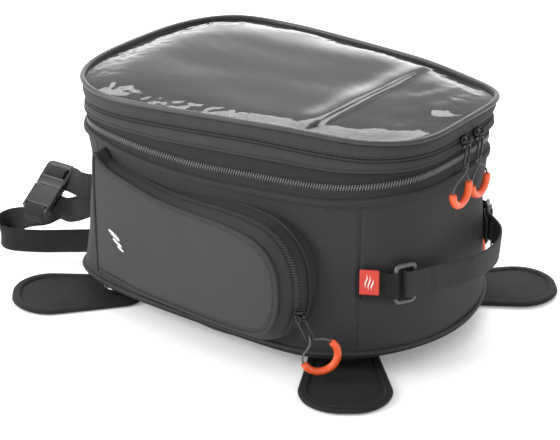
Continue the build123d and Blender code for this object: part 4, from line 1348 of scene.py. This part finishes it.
def racetrack(width, low, high, count):
    """A closed oval in local across and up, from low to high."""
    half = width / 2
    points = []
    for angle in turns(count):
        y = high - half if math.sin(angle) > 0 else low + half
        points.append((half * math.cos(angle), y + half * math.sin(angle)))
    return points


for name, (at, outward, lean, grip_route, length) in PULLS.items():
    flip = name == "far_pocket"
    slider_body = f"{name}_slider_body"
    at = np.array(at)
    out = np.array(outward)
    across = np.array([-out[1], out[0], 0.0])
    bar = at + UP * 1.5 + out * 6.8
    turned = math.radians(lean)
    hang_across = across * math.cos(turned) + UP * math.sin(turned)
    hang_up = -across * math.sin(turned) + UP * math.cos(turned)
    pull_body = "expansion_pull" if name == "expansion" else f"{name}_pull"

    def put(points, flip=flip):
        points = np.asarray(points, float)
        return mirror_points(points) if flip else points

    # Slider: a shield-shaped body, two lugs and the bar between them.
    rows = []
    for u, half in ((-5.6, 2.2), (-5.2, 3.0), (-3.0, 3.5), (0.0, 4.1), (3.0, 4.6), (4.8, 4.5), (5.5, 3.4)):
        ring = []
        for angle in turns(28):
            c, s = math.cos(angle), math.sin(angle)
            x = half * math.copysign(abs(c) ** 0.55, c)
            z = 1.8 + 1.75 * math.copysign(abs(s) ** 0.7, s) * (0.92 if abs(u) < 5 else 0.6)
            ring.append(at + across * x + UP * u + out * z)
        rows.append(put(ring))
    body = grid(f"{name}_slider_shell", rows, SLIDER_METAL, cap=True, sharp=50)
    settle(body, slider_body, "slider_metal", f"{name}_slider")
    for side in (-1, 1):
        lug_at = at + across * side * 3.7
        lug_bar = bar + across * side * 3.7
        line = [lug_at + UP * (3.9 - 0.5 * t) + out * (2.6 + 3.0 * t) for t in np.linspace(0, 1, 5)]
        line += [lug_bar + UP * 1.1, lug_bar + UP * 0.2 + out * 0.3, lug_bar - UP * 0.8]
        line += [lug_at - UP * (0.3 + 2.2 * t) + out * (5.4 - 2.6 * t) for t in np.linspace(0, 1, 4)]
        lug = tube(f"{name}_lug_{side + 1}", put(line), 0.75, SLIDER_METAL, closed=False, sides=10,
                   up=across)
        settle(lug, slider_body, "slider_metal")
    line = [bar + across * t for t in np.linspace(-4.4, 4.4, 8)]
    bridge = tube(f"{name}_bridge_bar", put(line), 0.95, SLIDER_METAL, closed=False, sides=14)
    settle(bridge, slider_body, "slider_metal")

    # Puller: an oval loop of wire with an eye round the bar.
    oval = [bar + hang_across * x + hang_up * y for x, y in racetrack(6.6, -22.9, -2.6, 72)]
    oval_piece = tube(f"{name}_puller_loop", put(oval), 1.0, PULLER_METAL, sides=12, up=out)
    settle(oval_piece, pull_body, "puller_metal", f"{name}_puller")
    eye = []
    for angle in turns(24):
        eye.append(bar + hang_up * (2.15 * math.cos(angle) - 0.15) + out * 2.15 * math.sin(angle))
    piece = tube(f"{name}_puller_eye", put(eye), 0.62, PULLER_METAL, sides=10, up=across)
    settle(piece, pull_body, "puller_metal")
    if grip_route is None:
        continue

    # Soft tube grip, and the cord loop through the puller.
    stand_off, *spots = grip_route
    grip = arc(*(at + across * a + UP * u + out * stand_off for a, u in spots), GRIP_STEPS)
    radius = np.full(GRIP_STEPS, 3.3)
    radius[[0, -1]] = 2.5
    radius[[1, -2]] = 3.2
    grip_piece = tube(f"{name}_grip_tube", put(grip), radius, ORANGE, closed=False, sides=20, up=out)
    settle(grip_piece, pull_body, "tube_orange", f"{name}_tube")
    start = grip[1] - grip[0]
    start /= np.linalg.norm(start)
    finish = grip[-1] - grip[-2]
    finish /= np.linalg.norm(finish)
    rest = -23.0
    route = [
        grip[0], grip[0] - start * 6.2,
        bar - hang_across * 2.5 + hang_up * (rest - 4.0) + out * 2.9,
        bar - hang_across * 0.3 + hang_up * (rest + 2.9) + out * 2.9,
        bar + hang_across * 0.3 + hang_up * (rest + 2.9) - out * 2.9,
        bar + hang_across * 2.5 + hang_up * (rest - 4.0) - out * 2.9,
        grip[-1] + finish * 6.2, grip[-1],
    ]
    route = put(route)
    # The cord is a NURBS curve: the export measures it as a cord.
    curve = bpy.data.curves.new(f"{name}_pull_cord", "CURVE")
    curve.dimensions = "3D"
    curve.bevel_depth = 0.9 * MM
    curve.bevel_resolution = 4
    curve.resolution_u = 16
    line = curve.splines.new("NURBS")
    line.points.add(len(route) - 1)
    for point, place_at in zip(line.points, route):
        point.co = (*(place_at * MM), 1)
    line.order_u = 3
    line.use_endpoint_u = True
    curve.materials.append(CORD)
    cord_piece = bpy.data.objects.new(f"{name}_pull_cord", curve)
    bpy.context.scene.collection.objects.link(cord_piece)
    settle(cord_piece, pull_body, "cord_grey", f"{name}_cord")


# ---------------------------------------------------------------- floor, light and camera
floor_mesh = bpy.data.meshes.new("studio_floor")
floor_mesh.from_pydata([(-9, -9, 0), (9, -9, 0), (9, 9, 0), (-9, 9, 0)], [], [(0, 1, 2, 3)])
studio_floor = bpy.data.objects.new("studio_floor", floor_mesh)
bpy.context.scene.collection.objects.link(studio_floor)
studio_floor.location.z = -0.0004
floor_material, tree, shader, spots = start_material("studio_white")
grain = noise_node(tree, spots["Object"], 3.0, 2.0)
connect(tree, shader, {
    "Base Color": ramp_node(tree, grain, 0.3, 0.7, (0.93, 0.93, 0.935), (0.95, 0.95, 0.95)),
    "Roughness": 0.5,
    "Specular IOR Level": 0.3,
    "Emission Color": (1.0, 1.0, 1.0, 1),
    "Emission Strength": 0.16,
})
floor_mesh.materials.append(floor_material)
studio_floor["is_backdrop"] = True

world = bpy.data.worlds.new("studio")
bpy.context.scene.world = world
world.use_nodes = True
sky = world.node_tree
# White all round, brighter low down behind the bag.
direction = new_node(sky, "TexCoord").outputs["Generated"]
facing = new_node(sky, "VectorMath", {1: (-0.583, 0.813, 0.0)})
facing.operation = "DOT_PRODUCT"
sky.links.new(direction, facing.inputs[0])
behind = math_node(sky, "POWER", math_node(sky, "MAXIMUM", facing.outputs["Value"], 0.0), 3.0)
split = new_node(sky, "SeparateXYZ", {0: direction})
low_down = new_node(sky, "MapRange", {"From Min": 0.35, "From Max": 0.10, "Value": split.outputs["Z"]})
low_down.interpolation_type = "SMOOTHSTEP"
glow = math_node(sky, "MULTIPLY", behind, low_down.outputs[0])
strength = scaled(sky, glow, 2.6, 1.0)
connect(sky, sky.nodes["Background"], {"Color": (1.0, 1.0, 1.0, 1), "Strength": strength})


def softbox(name, at, target, width, height, power):
    light = bpy.data.lights.new(name, "AREA")
    light.shape = "RECTANGLE"
    light.size = width
    light.size_y = height
    light.energy = power
    lamp = bpy.data.objects.new(name, light)
    bpy.context.scene.collection.objects.link(lamp)
    lamp.location = at
    lamp.rotation_euler = (Vector(target) - Vector(at)).to_track_quat("-Z", "Y").to_euler()
    return lamp


softbox("key_front_left", (-1.1, -1.3, 0.9), (-0.05, -0.1, 0.1), 0.9, 0.8, 26)
softbox("overhead_back", (-0.66, 0.92, 1.46), (0, 0, 0.2), 1.9, 0.66, 26)

camera_data = bpy.data.cameras.new("camera")
camera_data.sensor_width = 36.0
camera_data.lens = 115.7
camera_data.clip_end = 50
camera = bpy.data.objects.new("camera", camera_data)
bpy.context.scene.collection.objects.link(camera)
# The camera's right, up and back directions, then where it stands.
view = ((0.8145, 0.5801, -0.0063), (-0.2369, 0.3424, 0.9092), (0.5296, -0.7391, 0.4163), (0.8871, -1.2558,
        0.7787))
camera.matrix_world = Matrix((*zip(*view), (0, 0, 0, 1)))
bpy.context.scene.camera = camera
bpy.context.scene.view_settings.view_transform = "Standard"
bpy.context.scene.view_settings.look = "None"

low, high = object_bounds()
